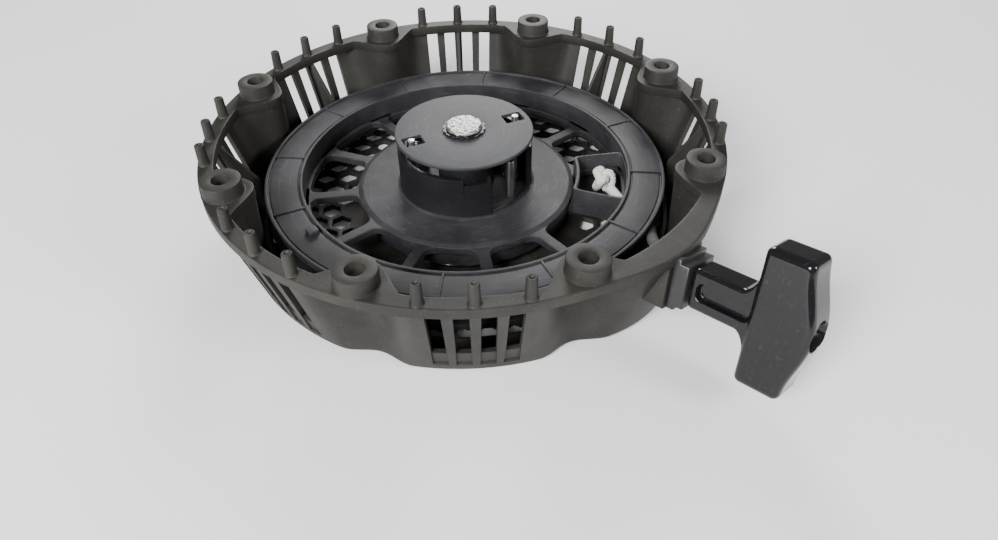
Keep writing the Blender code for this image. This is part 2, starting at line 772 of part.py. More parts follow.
def reel_bush(finish, parent):
    low, high = hub_low + gap, sleeve_top - gap
    profile = [(bush_inner, low), (bush_outer, low), (bush_outer, high), (bush_inner, high)]
    turned("reel_bush", profile, 32, finish, parent)


def spring_cover(finish, parent):
    inner, outer = post_radius + 1 * mm, hub_radius - 0.4 * mm
    profile = [(inner, cover_low), (outer, cover_low), (outer, cover_high), (inner, cover_high)]
    turned("spring_cover", profile, 32, finish, parent)


def recoil_spring(finish, parent):
    """A flat strip wound in a spiral from the post to the cup's wall."""
    count = spring_turns * 16 + 1
    shares = np.linspace(0, 1, count)
    radii = spring_inner + (spring_outer - spring_inner) * shares ** 0.8
    around = -20 - 360 * spring_turns * (1 - shares)
    bm = bmesh.new()
    rows = []
    for radius, angle in zip(radii, around):
        corners = [(radius, spring_low), (radius + spring_strip, spring_low)]
        corners += [(radius + spring_strip, spring_high), (radius, spring_high)]
        rows.append([bm.verts.new(polar(r, angle, z)) for r, z in corners])
    for row, ahead in zip(rows, rows[1:]):
        for i in range(4):
            j = (i + 1) % 4
            bm.faces.new((row[i], row[j], ahead[j], ahead[i]))
    bm.faces.new(rows[0])
    bm.faces.new(rows[-1])
    finished("recoil_spring", bm, finish, parent)


def tangent_angle():
    """Where the rope leaves its outer layer, straight for the exit."""
    corner = exit_point(rope_corner)
    return exit_angle + np.degrees(np.arccos(layer_two / corner.to_2d().length))


def rope_winding(finish, parent):
    """From the knot box through the ring's wall, then clockwise in two layers to where the rope leaves."""
    start, end = rope_anchor()
    total = (anchor_angle - tangent_angle()) % 360 + 360
    turned_by = np.arange(10, total, 10)
    radii = layer_one + (layer_two - layer_one) * smooth_step((turned_by - 330) / 40)
    path = [start.lerp(end, 0.35), end]
    path += [polar(r, anchor_angle - t, winding_height) for r, t in zip(radii, turned_by)]
    path.append(polar(layer_two, tangent_angle(), winding_height))
    bends = [0, 8 * mm] + [0] * (len(path) - 2)
    tube("rope_winding", rounded(path, bends, closed=False), rope, finish, parent)


def rope_lead(finish):
    """Straight from the reel's groove, rising to the guide's height, round its edge, and out through it."""
    leaves = polar(layer_two, tangent_angle(), winding_height)
    corner = exit_point(rope_corner)
    run = (corner - leaves).to_2d().to_3d()
    clear = layer_two + 2 * rope + 1 * mm
    first = np.sqrt(clear**2 - layer_two**2)
    last = run.length - 6.5 * mm
    path = []
    for along in np.linspace(first, last, 9):
        lift = smooth_step((along - first) / (last - first)) * (corner.z - winding_height)
        path.append(leaves + run * (along / run.length) + Vector((0, 0, lift)))
    path += [corner, exit_point(guide_end + 0.1 * mm)]
    bends = [0] * 9 + [rope_bend * 0.9, 0]
    tube("rope_lead", rounded(path, bends, steps=5, closed=False), rope, finish)


def lumpy_ball(name, size, finish, parent=None, at=None, waves=3):
    """An egg with low bulges, like a knot pulled tight."""
    bm = bmesh.new()
    bmesh.ops.create_uvsphere(bm, u_segments=14, v_segments=8, radius=1)
    for vert in bm.verts:
        around = np.arctan2(vert.co.y, vert.co.x)
        bulge = 1 + 0.06 * np.cos(waves * around + 2.5 * vert.co.z) * (1 - vert.co.z**2)
        vert.co = Vector((vert.co.x * size.x, vert.co.y * size.y, vert.co.z * size.z)) * bulge
    return finished(name, bm, finish, parent, at)


def rope_knot(finish, parent):
    start, end = rope_anchor()
    middle = start.lerp(end, 0.35) - (end - start).normalized() * (knot_size.y * 1.07 + gap)
    made = lumpy_ball("rope_knot", knot_size, finish, parent, middle)
    made.rotation_euler = (end - start).to_track_quat("Y", "Z").to_euler()


def rope_guide(finish):
    """A block on the wall's pad, with a spigot through the wall and a rounded bore for the rope."""
    bm = bmesh.new()
    foot, head = guide_height / 2 + 1 * mm, guide_height / 2 - 1 * mm
    step = guide_start + guide_step
    upper = [(guide_end, head), (step, head), (step, foot), (guide_start, foot)]
    outline = [(u, -v) for u, v in reversed(upper)] + upper
    frame = exit_frame()
    add_prism(bm, outline, -guide_width / 2, guide_width / 2, frame, rounding=1 * mm)
    made = finished("rope_guide", bm, finish)
    bm = bmesh.new()
    add_disc(bm, spigot_radius, spigot_start, guide_start + 2 * mm, 20, move=frame @ along_x)
    boolean(made, finished("guide_spigot", bm), "UNION")
    mouth = guide_bore + 1.2 * mm
    profile = [(0, spigot_start - 2 * mm), (mouth, spigot_start - 2 * mm), (mouth, spigot_start)]
    profile += [(guide_bore, spigot_start + 1.5 * mm), (guide_bore, guide_end - 1.5 * mm), (mouth, guide_end)]
    profile += [(mouth, guide_end + 2 * mm), (0, guide_end + 2 * mm)]
    bm = bmesh.new()
    add_turned(bm, profile, 16, closed=False, move=frame @ along_x)
    boolean(made, finished("guide_bore_cut", bm), "DIFFERENCE")


def grip_outline():
    """The T's bar, seen from its side: straight towards the stem, and bulged outwards in the middle."""
    across = np.linspace(-1, 1, 9)
    outer = [(grip_end + grip_bulge * (0.5 + 0.5 * np.cos(np.pi * s)), s * grip_half) for s in across]
    corners = [Vector((grip_start, grip_half, 0)), Vector((grip_start, -grip_half, 0))]
    corners += [Vector((*p, 0)) for p in outer]
    radii = [5 * mm, 5 * mm, 4 * mm] + [0] * 7 + [4 * mm]
    return rounded(corners, radii)


def stem_outline():
    neck = grip_start - 6 * mm
    side = [(stem_start, stem_half), (neck, stem_half), (neck + 4 * mm, stem_half + 1.5 * mm)]
    side += [(grip_start + 0.6 * mm, stem_half + 6 * mm), (grip_start + 3 * mm, stem_half + 6 * mm)]
    return [(u, -v) for u, v in side] + side[::-1]


def handle_grip(finish, parent):
    """The T handle: a grooved stem, a bar across its end, a bore for the rope, and a chamber for its knot."""
    bm = bmesh.new()
    add_prism(bm, grip_outline(), -grip_width / 2, grip_width / 2, rounding=grip_round)
    made = finished("handle_grip", bm, finish, parent)
    bm = bmesh.new()
    add_prism(bm, stem_outline(), -stem_width / 2, stem_width / 2, rounding=2 * mm)
    boolean(made, finished("grip_stem", bm, parent=parent), "UNION")
    bm = bmesh.new()
    high = grip_end + grip_bulge + 2 * mm
    profile = [(0, stem_start - 2 * mm), (handle_bore, stem_start - 2 * mm), (handle_bore, chamber_start)]
    profile += [(chamber_radius, chamber_start), (chamber_radius, high), (0, high)]
    add_turned(bm, profile, 16, closed=False, move=along_x)
    groove = [Vector(p) for p in ((stem_start + 3 * mm, -stem_groove, 0), (grip_start, -stem_groove, 0),
                                  (grip_start, stem_groove, 0), (stem_start + 3 * mm, stem_groove, 0))]
    outline = rounded(groove, [3 * mm] * 4)
    deep = stem_width / 2 - stem_groove_depth
    for side in (-1, 1):
        add_prism(bm, outline, side * deep, side * (grip_width / 2 + 2 * mm))
    boolean(made, finished("grip_cuts", bm, parent=parent), "DIFFERENCE")


def handle_rope_parts(rope_finish, steel, parent):
    start, end = stem_start - 0.1 * mm, washer_high + gap
    tube("handle_rope", [(u, 0, 0) for u in np.linspace(start, end, 4)], rope, rope_finish, parent)
    bm = bmesh.new()
    inner, outer, low = rope + gap, chamber_radius - gap, chamber_start + gap
    profile = [(inner, low), (outer, low), (outer, washer_high), (inner, washer_high)]
    add_turned(bm, profile, 16, move=along_x)
    finished("handle_washer", bm, steel, parent)
    size = Vector((5.2, 5.4, 5.2)) * mm
    lumpy_ball("handle_knot", size, rope_finish, parent, Vector((end + size.x * 1.07 + gap, 0, 0)))


def pawl_outline(circles):
    """The hull round circles given as (centre, radius), and its points in order."""
    points = []
    for centre, radius in circles:
        points += [Vector(p) for p in ring_of_points(radius, 12, centre)]
    return [points[i] for i in convex_hull_2d(points)]


def pawl(name, finish, parent):
    """A tall hooked arm with an eye for its pin, and a lobe whose peg stands in the plate's window."""
    nose, peg = pawl_nose - pawl_pivot, pawl_peg - pawl_pivot
    bm = bmesh.new()
    add_prism(bm, pawl_outline([(Vector(), pawl_eye), (peg, lobe_radius)]), pawl_low, pawl_high)
    made = finished(name, bm, finish, parent)
    bm = bmesh.new()
    arm = pawl_outline([(Vector(), pawl_arm), (nose, nose_radius)])
    add_prism(bm, arm, pawl_low + 0.5 * mm, pawl_high - 0.2 * mm)
    add_disc(bm, peg_radius, pawl_high - 0.6 * mm, plate_high + 0.8 * mm, 10, peg)
    boolean(made, finished(f"{name}_arm", bm, parent=parent), "UNION")
    bm = bmesh.new()
    add_disc(bm, pin_radius + gap, pawl_low - 1 * mm, pawl_high + 1 * mm, 12)
    boolean(made, finished(f"{name}_bore", bm, parent=parent), "DIFFERENCE")


def pawl_parts(number, turn, steel, spring, parent):
    centre = about_z(turn) @ pawl_pivot
    axis = empty(f"pawl_{number}_axis", Matrix.Translation(centre) @ about_z(turn), parent)
    pawl(f"pawl_{number}", steel, axis)
    low, high = hub_low + gap, pawl_high + 0.6 * mm
    bm = bmesh.new()
    add_disc(bm, pin_radius, low, high, 12)
    finished(f"pawl_pin_{number}", bm, steel, parent, at=centre)
    path = helix(return_radius, hub_top + 1 * mm, pawl_low - 1 * mm, 1.5, 14, turn + 30, centre.to_2d())
    tube(f"pawl_spring_{number}", path, return_wire, spring, parent)


def friction_plate(finish, parent):
    bore = post_radius + gap
    profile = [(bore, plate_low), (plate_radius, plate_low), (plate_radius, plate_high), (bore, plate_high)]
    made = turned("friction_plate", profile, 40, finish, parent)
    bm = bmesh.new()
    for turn in (0, 180):
        low = (window_inner, -window_width / 2, plate_low - 1 * mm)
        high = (window_outer, window_width / 2, plate_high + 1 * mm)
        add_box(bm, low, high, about_z(window_angle + turn))
    boolean(made, finished("plate_windows", bm), "DIFFERENCE")


def drag_parts(steel, spring, parent):
    high = plate_low - gap
    low = high - washer_thickness
    inner = post_radius + gap
    profile = [(inner, low), (washer_outer, low), (washer_outer, high), (inner, high)]
    turned("thrust_washer", profile, 24, steel, parent)
    wire_low, wire_high = sleeve_top + gap + drag_wire, low - gap - drag_wire
    tube("brake_spring", helix(drag_radius, wire_low, wire_high, 2.5, 14), drag_wire, spring, parent)


def main():
    for old in list(bpy.data.objects):
        bpy.data.objects.remove(old, do_unlink=True)
    shell, black, steel = housing_plastic(), moulded_black(), turned_steel()
    spring, braid = spring_steel(), braided_rope()
    housing_shell(shell)
    honeycomb_face(shell)
    centre_post(steel)
    post_screws(steel)
    lock_ring(dark_steel())
    centre_bolt(rough_steel())
    rope_guide(black)
    rope_lead(braid)
    reel_axis = empty("reel_axis", Vector())
    reel(reel_plastic(), reel_axis)
    reel_bush(bearing_bronze(), reel_axis)
    spring_cover(spring, reel_axis)
    recoil_spring(spring, reel_axis)
    rope_winding(braid, reel_axis)
    rope_knot(braid, reel_axis)
    for number, turn in ((1, 0), (2, 180)):
        pawl_parts(number, turn, steel, spring, reel_axis)
    plate_axis = empty("plate_axis", Vector())
    friction_plate(coated_steel(), plate_axis)
    drag_parts(steel, spring, plate_axis)
    rope_end = empty("rope_end", exit_frame())
    handle_rope_parts(braid, steel, rope_end)
    handle_grip(handle_plastic(), empty("grip_axis", exit_frame()))


main()
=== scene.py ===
import json
import math

import bmesh
import bpy
import numpy as np
from mathutils import Matrix, Vector


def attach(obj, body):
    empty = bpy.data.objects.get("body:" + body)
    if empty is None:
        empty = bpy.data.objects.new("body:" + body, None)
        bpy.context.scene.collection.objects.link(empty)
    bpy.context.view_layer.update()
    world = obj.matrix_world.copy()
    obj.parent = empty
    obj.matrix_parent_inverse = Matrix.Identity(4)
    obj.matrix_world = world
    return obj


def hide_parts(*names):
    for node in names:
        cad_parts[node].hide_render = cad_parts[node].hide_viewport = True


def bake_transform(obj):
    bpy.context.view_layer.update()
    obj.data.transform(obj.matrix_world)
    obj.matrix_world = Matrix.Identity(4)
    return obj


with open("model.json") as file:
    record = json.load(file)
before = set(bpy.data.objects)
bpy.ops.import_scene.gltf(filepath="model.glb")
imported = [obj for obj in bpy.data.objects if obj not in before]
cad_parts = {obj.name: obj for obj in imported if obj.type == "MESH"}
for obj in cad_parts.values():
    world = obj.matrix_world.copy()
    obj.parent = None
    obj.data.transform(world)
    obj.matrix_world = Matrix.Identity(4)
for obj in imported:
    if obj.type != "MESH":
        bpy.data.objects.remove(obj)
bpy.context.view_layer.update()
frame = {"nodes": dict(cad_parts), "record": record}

mm = 0.001
mergeDistance = 2e-6    # points closer than this are one
record = frame["record"]
bodyOf = {node: body for body, members in record["behaviour"]["bodies"].items() for node in members}
slotOf = {item["node"]: item["material_slot"] for item in record["subparts"]}


class Value:    # a node's output: Python operators on it add Math nodes
    def __init__(self, finish, socket):
        self.finish, self.socket = finish, socket

    def math(self, operation, *others):
        return self.finish.add("ShaderNodeMath", {"operation": operation}, dict(enumerate((self, *others))))

    def __add__(self, other):
        return self.math("ADD", other)

    def __sub__(self, other):
        return self.math("SUBTRACT", other)

    def __rsub__(self, other):
        return self.finish.add("ShaderNodeMath", {"operation": "SUBTRACT"}, {0: other, 1: self})

    def __mul__(self, other):
        return self.math("MULTIPLY", other)

    __radd__, __rmul__ = __add__, __mul__

    def step(self, low, high):    # 0 below low, 1 above high, smooth between
        sockets = {"Value": self, "From Min": low, "From Max": high}
        return self.finish.add("ShaderNodeMapRange", {"interpolation_type": "SMOOTHSTEP"}, sockets)


class Finish:    # one material and its nodes
    def __init__(self, name, color, roughness, metallic=0.0, **constants):
        self.material = bpy.data.materials.new(name)
        self.material.use_nodes = True
        self.tree = self.material.node_tree
        self.shader = self.tree.nodes["Principled BSDF"]
        self.height = None
        self.set("Base Color", color)
        self.set("Roughness", roughness)
        self.set("Metallic", metallic)
        for socket, value in constants.items():
            self.set(socket.replace("_", " "), value)

    def put(self, socket, value):
        if isinstance(value, Value):
            self.tree.links.new(value.socket, socket)
        elif isinstance(value, tuple) and socket.type == "RGBA":
            socket.default_value = (*value, 1)
        else:
            socket.default_value = value

    def set(self, socket, value):
        self.put(self.shader.inputs[socket], value)

    def add(self, kind, settings=None, sockets=None, output=0):
        node = self.tree.nodes.new(kind)
        for key, value in (settings or {}).items():
            setattr(node, key, value)
        for key, value in (sockets or {}).items():
            self.put(node.inputs[key], value)
        return Value(self, node.outputs[output])

    def place(self, turn=(0, 0, 0), stretch=(1, 1, 1)):    # Object coordinates
        spot = self.add("ShaderNodeTexCoord", output=3)
        return self.add("ShaderNodeMapping", {}, {"Vector": spot, "Rotation": turn, "Scale": stretch})

    def noise(self, scale, detail=3.0, rough=0.55, spot=None):
        sockets = {"Scale": scale, "Detail": detail, "Roughness": rough, "Vector": spot or self.place()}
        return self.add("ShaderNodeTexNoise", {}, sockets)

    def cells(self, scale):    # distance from the middle of each cell
        return self.add("ShaderNodeTexVoronoi", {}, {"Scale": scale, "Vector": self.place()})

    def axes(self):
        split = self.add("ShaderNodeSeparateXYZ", {}, {0: self.place()})
        return [Value(self, output) for output in split.socket.node.outputs]

    def mix(self, share, low, high):    # of two colours
        return self.add("ShaderNodeMix", {"data_type": "RGBA"}, {0: share, 6: low, 7: high}, output=2)

    def bump(self, height, depth, strength=1.0):    # depth in metres for a height of 1
        sockets = {"Height": height, "Distance": depth, "Strength": strength}
        if self.height:
            sockets["Normal"] = self.height
        self.height = self.add("ShaderNodeBump", {}, sockets)
        self.set("Normal", self.height)


class Shape:    # points and faces of one piece, gathered from grids
    def __init__(self):
        self.points, self.faces, self.count = [], [], 0

    def keep(self, points):
        index = np.arange(len(points)) + self.count
        self.points.append(points)
        self.count += len(points)
        return index

    def grid(self, points, closeU=False, closeV=False, capU=False, hole=None):
        # points is (u, v, 3). Faces join neighbours, wrap round where closed, and leave out the cells in hole
        lines, across = points.shape[:2]
        index = self.keep(points.reshape(-1, 3)).reshape(lines, across)
        a = np.arange(lines if closeU else lines - 1)
        b = np.arange(across if closeV else across - 1)
        i, j = (x.ravel() for x in np.meshgrid(a, b, indexing="ij"))
        if hole is not None:
            solid = ~hole[i, j]
            i, j = i[solid], j[solid]
        iNext, jNext = (i + 1) % lines, (j + 1) % across
        corners = [index[i, j], index[iNext, j], index[iNext, jNext], index[i, jNext]]
        self.faces += np.stack(corners, 1).tolist()
        if capU:
            self.faces += [index[0].tolist(), index[-1][::-1].tolist()]
        return index

    def mesh(self, name):
        mesh = bpy.data.meshes.new(name)
        mesh.from_pydata(np.concatenate(self.points).tolist(), [], self.faces)
        return mesh


def cleaned(mesh):    # doubles merged, faces turned out
    bm = bmesh.new()
    bm.from_mesh(mesh)
    bmesh.ops.remove_doubles(bm, verts=bm.verts, dist=mergeDistance)
    bmesh.ops.recalc_face_normals(bm, faces=bm.faces)
    bm.to_mesh(mesh)
    bm.free()
    return mesh


def added(name, mesh):    # an object at the origin that holds the mesh
    piece = bpy.data.objects.new(name, mesh)
    bpy.context.collection.objects.link(piece)
    return piece


def cutterOf(shape, name):
    cutter = added(name, cleaned(shape.mesh(name)))
    cutter.hide_render = True
    return cutter


def settle(name, mesh, slot, body, stands=(), sharp=40, bevel=0.0, cutters=(), finish=None):
    # cleans, cuts and rounds the mesh, gives it its finish, and hangs the piece on its body
    piece = added(name, cleaned(mesh))
    for cutter in cutters:
        cut = piece.modifiers.new("cut", "BOOLEAN")
        cut.operation, cut.object, cut.solver = "DIFFERENCE", cutter, "EXACT"
    if bevel:
        edge = piece.modifiers.new("edge", "BEVEL")
        edge.width, edge.segments, edge.limit_method, edge.angle_limit = bevel, 2, "ANGLE", math.radians(38)
        edge.use_clamp_overlap = True
    if cutters or bevel:
        graph = bpy.context.evaluated_depsgraph_get()
        mesh = bpy.data.meshes.new_from_object(piece.evaluated_get(graph))
        piece.modifiers.clear()
        piece.data = mesh
        mesh.name = name
    mesh.materials.clear()
    mesh.materials.append(finishes[finish or slot])
    mesh.shade_smooth()
    mesh.set_sharp_from_angle(angle=math.radians(sharp))
    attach(piece, body)
    if stands:
        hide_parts(*stands)
    return piece


def finishPiece(name, shape, *place, **how):
    return settle(name, shape.mesh(name), *place, **how)


def softened(node, bevel):
    # a CAD node with its triangles merged back into faces, and its edges rounded
    bm = bmesh.new()
    bm.from_mesh(frame["nodes"][node].data)
    bmesh.ops.remove_doubles(bm, verts=bm.verts, dist=mergeDistance)
    bmesh.ops.dissolve_limit(bm, angle_limit=math.radians(0.4), verts=bm.verts, edges=bm.edges)
    mesh = bpy.data.meshes.new(f"{node}_fine")
    bm.to_mesh(mesh)
    bm.free()
    return settle(f"{node}_fine", mesh, slotOf[node], bodyOf[node], (node,), bevel=bevel)


def aboutZ(degrees):
    cos, sin = math.cos(math.radians(degrees)), math.sin(math.radians(degrees))
    return np.array([[cos, -sin, 0], [sin, cos, 0], [0, 0, 1]])


def polar(radius, degrees, z=0.0):    # broadcasts over arrays
    a = np.radians(degrees)
    radius, a, z = np.broadcast_arrays(radius, a, z)
    return np.stack([radius * np.cos(a), radius * np.sin(a), z], -1)


def roundedProfile(corners, radii, steps=4):
    # a closed outline in two dimensions, each corner replaced by an arc of its own radius
    corners = np.asarray(corners, float)
    out = []
    for k, (corner, radius) in enumerate(zip(corners, np.broadcast_to(radii, len(corners)))):
        if not radius:
            out.append(corner[None])
            continue
        back, on = corners[k - 1] - corner, corners[(k + 1) % len(corners)] - corner
        back, on = back / np.linalg.norm(back), on / np.linalg.norm(on)
        half = math.acos(np.clip(back @ on, -1, 1)) / 2
        middle = corner + (back + on) / np.linalg.norm(back + on) * radius / math.sin(half)
        reach = radius / math.tan(half)
        first, last = corner + back * reach - middle, corner + on * reach - middle
        sweep = math.pi - 2 * half
        share = np.linspace(0, 1, steps + 1)[:, None]
        arc = (np.sin((1 - share) * sweep) * first + np.sin(share * sweep) * last) / math.sin(sweep)
        out.append(middle + arc)
    return np.concatenate(out)


def turned(shape, profile, steps, centre=(0, 0), closed=True):
    # a profile (n, 2) of radius and height carried round. If not closed, it runs from the axis back to it
    degrees = np.arange(steps)[:, None] * 360 / steps
    points = polar(profile[None, :, 0], degrees, profile[None, :, 1])
    shape.grid(points + [*centre, 0], closeU=True, closeV=closed)


def smoothStep(x):
    x = np.clip(x, 0, 1)
    return x * x * (3 - 2 * x)


def carried(path, section):
    # the section (m, 2) carried along the path (n, 3) on frames that stay level across
    tangent = np.gradient(path, axis=0)
    tangent /= np.linalg.norm(tangent, axis=1)[:, None]
    side = np.cross(tangent, (0, 0, 1.0))
    side /= np.maximum(np.linalg.norm(side, axis=1), 1e-9)[:, None]
    up = np.cross(side, tangent)
    section = np.broadcast_to(section, (len(path), *section.shape[-2:]))
    return path[:, None] + section[..., :1] * side[:, None] + section[..., 1:] * up[:, None]


def housingPlastic():
    # warm dark grey nylon: fine grain, pale rubbed specks, and long soft stains
    look = {"base": (0.026, 0.0238, 0.0195), "worn": (0.11, 0.103, 0.085), "dark": (0.014, 0.013, 0.011)}
    finish = Finish("housing_plastic", look["base"], 0.6, Specular_IOR_Level=0.4)
    grain, blotch = finish.noise(1700, 2), finish.noise(45, 5)
    specks = finish.noise(900, 4, 0.7).step(0.6, 0.72)
    tone = finish.mix(blotch.step(0.35, 0.7), look["dark"], look["base"])
    finish.set("Base Color", finish.mix(specks * 0.55, tone, look["worn"]))
    finish.set("Roughness", 0.5 + grain * 0.22 + specks * 0.08)
    finish.bump(grain + finish.noise(420, 3) * 0.8, 0.09 * mm, 0.8)
    return finish.material


def polarSpot(finish, radial, around):
    # radius and angle as a pattern's coordinates, so that marks run in circles
    x, y, z = finish.axes()
    radius = (x * x + y * y).math("SQRT")
    angle = y.math("ARCTAN2", x)
    return finish.add("ShaderNodeCombineXYZ", {}, {0: radius * radial, 1: angle * around, 2: z * radial})


def reelPlastic():
    # satin charcoal: a fine moulded grain, rubbed arcs, and pale dust in specks; the drum's wall is darkened
    # to near black as painted shade
    look = {"base": (0.034, 0.034, 0.037), "rubbed": (0.1, 0.1, 0.105), "dark": (0.015, 0.015, 0.017),
            "drum": (0.006, 0.006, 0.007)}
    finish = Finish("reel_plastic", look["base"], 0.42, Specular_IOR_Level=0.32)
    x, y, z = finish.axes()
    radius = (x * x + y * y).math("SQRT")
    # painted shade: the drum's wall, found by radius and height, is darkened to near black and made glossier
    drum = radius.step(0.0302, 0.0312) * (1 - radius.step(0.0352, 0.0366)) * z.step(0.0206, 0.0216)
    grain, cloud = finish.noise(1500, 3, 0.6), finish.noise(60, 4)
    arcs = finish.noise(1, 3, 0.6, polarSpot(finish, 900, 5)).step(0.56, 0.74)
    dust = finish.noise(750, 5, 0.75).step(0.6, 0.78)
    tone = finish.mix(cloud.step(0.3, 0.75), look["dark"], look["base"])
    worn = finish.mix(arcs * 0.35 + dust * 0.4, tone, look["rubbed"])
    finish.set("Base Color", finish.mix(drum * 0.85, worn, look["drum"]))
    finish.set("Roughness", 0.46 + grain * 0.2 + dust * 0.12 - drum * 0.2)
    finish.bump(grain, 0.05 * mm, 0.7)
    finish.bump(arcs, 0.02 * mm, 0.5)
    return finish.material


def handlePlastic():
    # gloss black with faint swirls and a few scuffs
    look = {"base": (0.006, 0.006, 0.007), "scuff": (0.045, 0.045, 0.048)}
    finish = Finish("handle_plastic", look["base"], 0.16, Specular_IOR_Level=0.3, Coat_Roughness=0.08)
    scuffs = finish.noise(130, 8, 0.75).step(0.6, 0.72)
    lines = finish.noise(60, 4, 0.7, finish.place((0.4, 0.2, 0.8), (1, 14, 6))).step(0.58, 0.66)
    finish.set("Base Color", finish.mix(scuffs * 0.5 + lines * 0.2, look["base"], look["scuff"]))
    finish.set("Roughness", 0.13 + scuffs * 0.25 + lines * 0.08)
    finish.set("Coat Weight", 0.2 - scuffs * 0.15)
    finish.bump(finish.noise(220, 3), 0.04 * mm, 0.35)
    return finish.material


def mouldedBlack():
    look = {"base": (0.014, 0.014, 0.015), "worn": (0.07, 0.07, 0.07)}
    finish = Finish("moulded_black", look["base"], 0.4)
    grain = finish.noise(1300, 3)
    worn = finish.noise(240, 6, 0.7).step(0.58, 0.72)
    finish.set("Base Color", finish.mix(worn * 0.4, look["base"], look["worn"]))
    finish.set("Roughness", 0.3 + grain * 0.2)
    finish.bump(grain, 0.05 * mm, 0.6)
    return finish.material


def turnedSteel():
    # lathe rings about each piece's own turning axis are near enough to rings about the centre
    look = {"base": (0.42, 0.42, 0.43), "stain": (0.2, 0.185, 0.17)}
    finish = Finish("turned_steel", look["base"], 0.3, 1.0)
    rings = finish.noise(1, 2, 0.5, polarSpot(finish, 2600, 1.5))
    stain = finish.noise(170, 5, 0.7).step(0.52, 0.72)
    finish.set("Base Color", finish.mix(stain * 0.7, look["base"], look["stain"]))
    finish.set("Roughness", 0.24 + rings * 0.16 + stain * 0.15)
    finish.bump(rings, 0.02 * mm, 0.5)
    return finish.material


def roughSteel():
    # bright cast metal: hammered hollows, fine pits, and grey scale left in the hollows
    look = {"base": (0.45, 0.45, 0.44), "scale": (0.1, 0.1, 0.103)}
    finish = Finish("rough_steel", look["base"], 0.4, 1.0)
    lumps, pits = finish.cells(420), finish.noise(1500, 4, 0.7)
    scale = finish.noise(430, 5, 0.75).step(0.5, 0.62)
    finish.set("Base Color", finish.mix(scale, look["base"], look["scale"]))
    finish.set("Roughness", 0.34 + pits * 0.3)
    finish.bump(lumps, 0.35 * mm, 0.8)
    finish.bump(pits, 0.12 * mm, 0.8)
    return finish.material


def darkSteel():
    look = {"base": (0.05, 0.05, 0.055), "bright": (0.34, 0.34, 0.35)}
    finish = Finish("dark_steel", look["base"], 0.42, 1.0)
    rubbed = finish.noise(600, 5, 0.7).step(0.56, 0.7)
    finish.set("Base Color", finish.mix(rubbed * 0.6, look["base"], look["bright"]))
    finish.set("Roughness", 0.32 + finish.noise(900) * 0.2)
    finish.bump(rubbed, 0.03 * mm, 0.6)
    return finish.material


def coatedSteel():
    # black coating, with circular rub marks where the plate turns under the bolt's ring
    look = {"base": (0.03, 0.031, 0.034), "rub": (0.1, 0.1, 0.105)}
    finish = Finish("coated_steel", look["base"], 0.4, Specular_IOR_Level=0.3)
    rub = finish.noise(1, 4, 0.65, polarSpot(finish, 1500, 2.5)).step(0.54, 0.7)
    specks = finish.noise(1100, 3, 0.7).step(0.6, 0.72)
    finish.set("Base Color", finish.mix(rub * 0.45 + specks * 0.4, look["base"], look["rub"]))
    finish.set("Roughness", 0.48 + finish.noise(1300) * 0.18)
    finish.bump(finish.noise(900, 3), 0.04 * mm, 0.7)
    return finish.material


def springSteel():
    # blue-grey strip with lengthwise rolling lines and brown spots of tarnish
    look = {"base": (0.2, 0.22, 0.26), "tarnish": (0.16, 0.1, 0.055)}
    finish = Finish("spring_steel", look["base"], 0.3, 1.0)
    lines = finish.noise(900, 3, 0.6, finish.place(stretch=(0.1, 0.1, 6)))
    tarnish = finish.noise(260, 5, 0.7).step(0.56, 0.7)
    finish.set("Base Color", finish.mix(tarnish * 0.8, look["base"], look["tarnish"]))
    finish.set("Roughness", 0.22 + lines * 0.16 + tarnish * 0.25)
    finish.bump(lines, 0.02 * mm, 0.5)
    return finish.material


def bearingBronze():
    look = {"base": (0.33, 0.2, 0.09), "pore": (0.06, 0.035, 0.02)}
    finish = Finish("bearing_bronze", look["base"], 0.4, 1.0)
    pores = finish.noise(2600, 2, 0.5).step(0.58, 0.66)
    finish.set("Base Color", finish.mix(pores, look["base"], look["pore"]))
    finish.set("Roughness", 0.34 + pores * 0.3)
    finish.bump(pores, -0.05 * mm, 0.8)
    return finish.material


def braidedRope(name, litShare):
    # grey fibre, greyer where handled, with fine hairs across each strand. Away from the knot its colour is
    # scaled down by litShare as painted shade; at the knot it stays pale
    look = {"base": (0.6, 0.6, 0.58), "grimy": (0.22, 0.215, 0.2), "fleck": (0.06, 0.06, 0.06),
            "knot": (0.0756, -0.0157, 0.0222), "near": 0.01, "far": 0.018}
    # painted shade: the base and grimy colours are scaled by litShare
    base, grimy = (tuple(part * litShare for part in look[key]) for key in ("base", "grimy"))
    finish = Finish(name, base, 0.85, Sheen_Weight=0.25 * litShare)
    sockets = {0: finish.place(), 1: look["knot"]}
    away = finish.add("ShaderNodeVectorMath", {"operation": "DISTANCE"}, sockets, 1)
    near = 1 - away.step(look["near"], look["far"])
    hairs = finish.noise(2400, 3, 0.65, finish.place((0.6, 0.5, 0.7), (1, 4, 1)))
    grime = finish.noise(140, 5, 0.65).step(0.42, 0.72)
    flecks = finish.noise(800, 2).step(0.64, 0.7)
    tone = finish.mix(flecks * 0.5, finish.mix(grime, base, grimy), look["fleck"])
    finish.set("Base Color", finish.mix(near, tone, finish.mix(grime, look["base"], look["grimy"])))
    finish.set("Roughness", 0.7 + hairs * 0.25)
    finish.bump(hairs, 0.12 * mm, 0.7)
    return finish.material


finishes = {"housing_plastic": housingPlastic(), "moulded_black": mouldedBlack(),
            "reel_plastic": reelPlastic(), "handle_plastic": handlePlastic(), "turned_steel": turnedSteel(),
            "rough_steel": roughSteel(), "dark_steel": darkSteel(), "coated_steel": coatedSteel(),
            "spring_steel": springSteel(), "bearing_bronze": bearingBronze(),
            # rope_run is the same rope darkened to a tenth as painted shade
            "braided_rope": braidedRope("braided_rope", 1.0), "rope_run": braidedRope("rope_run", 0.1)}
print("finishes ready")


exitAngle = -48.6    # where the rope leaves, in degrees


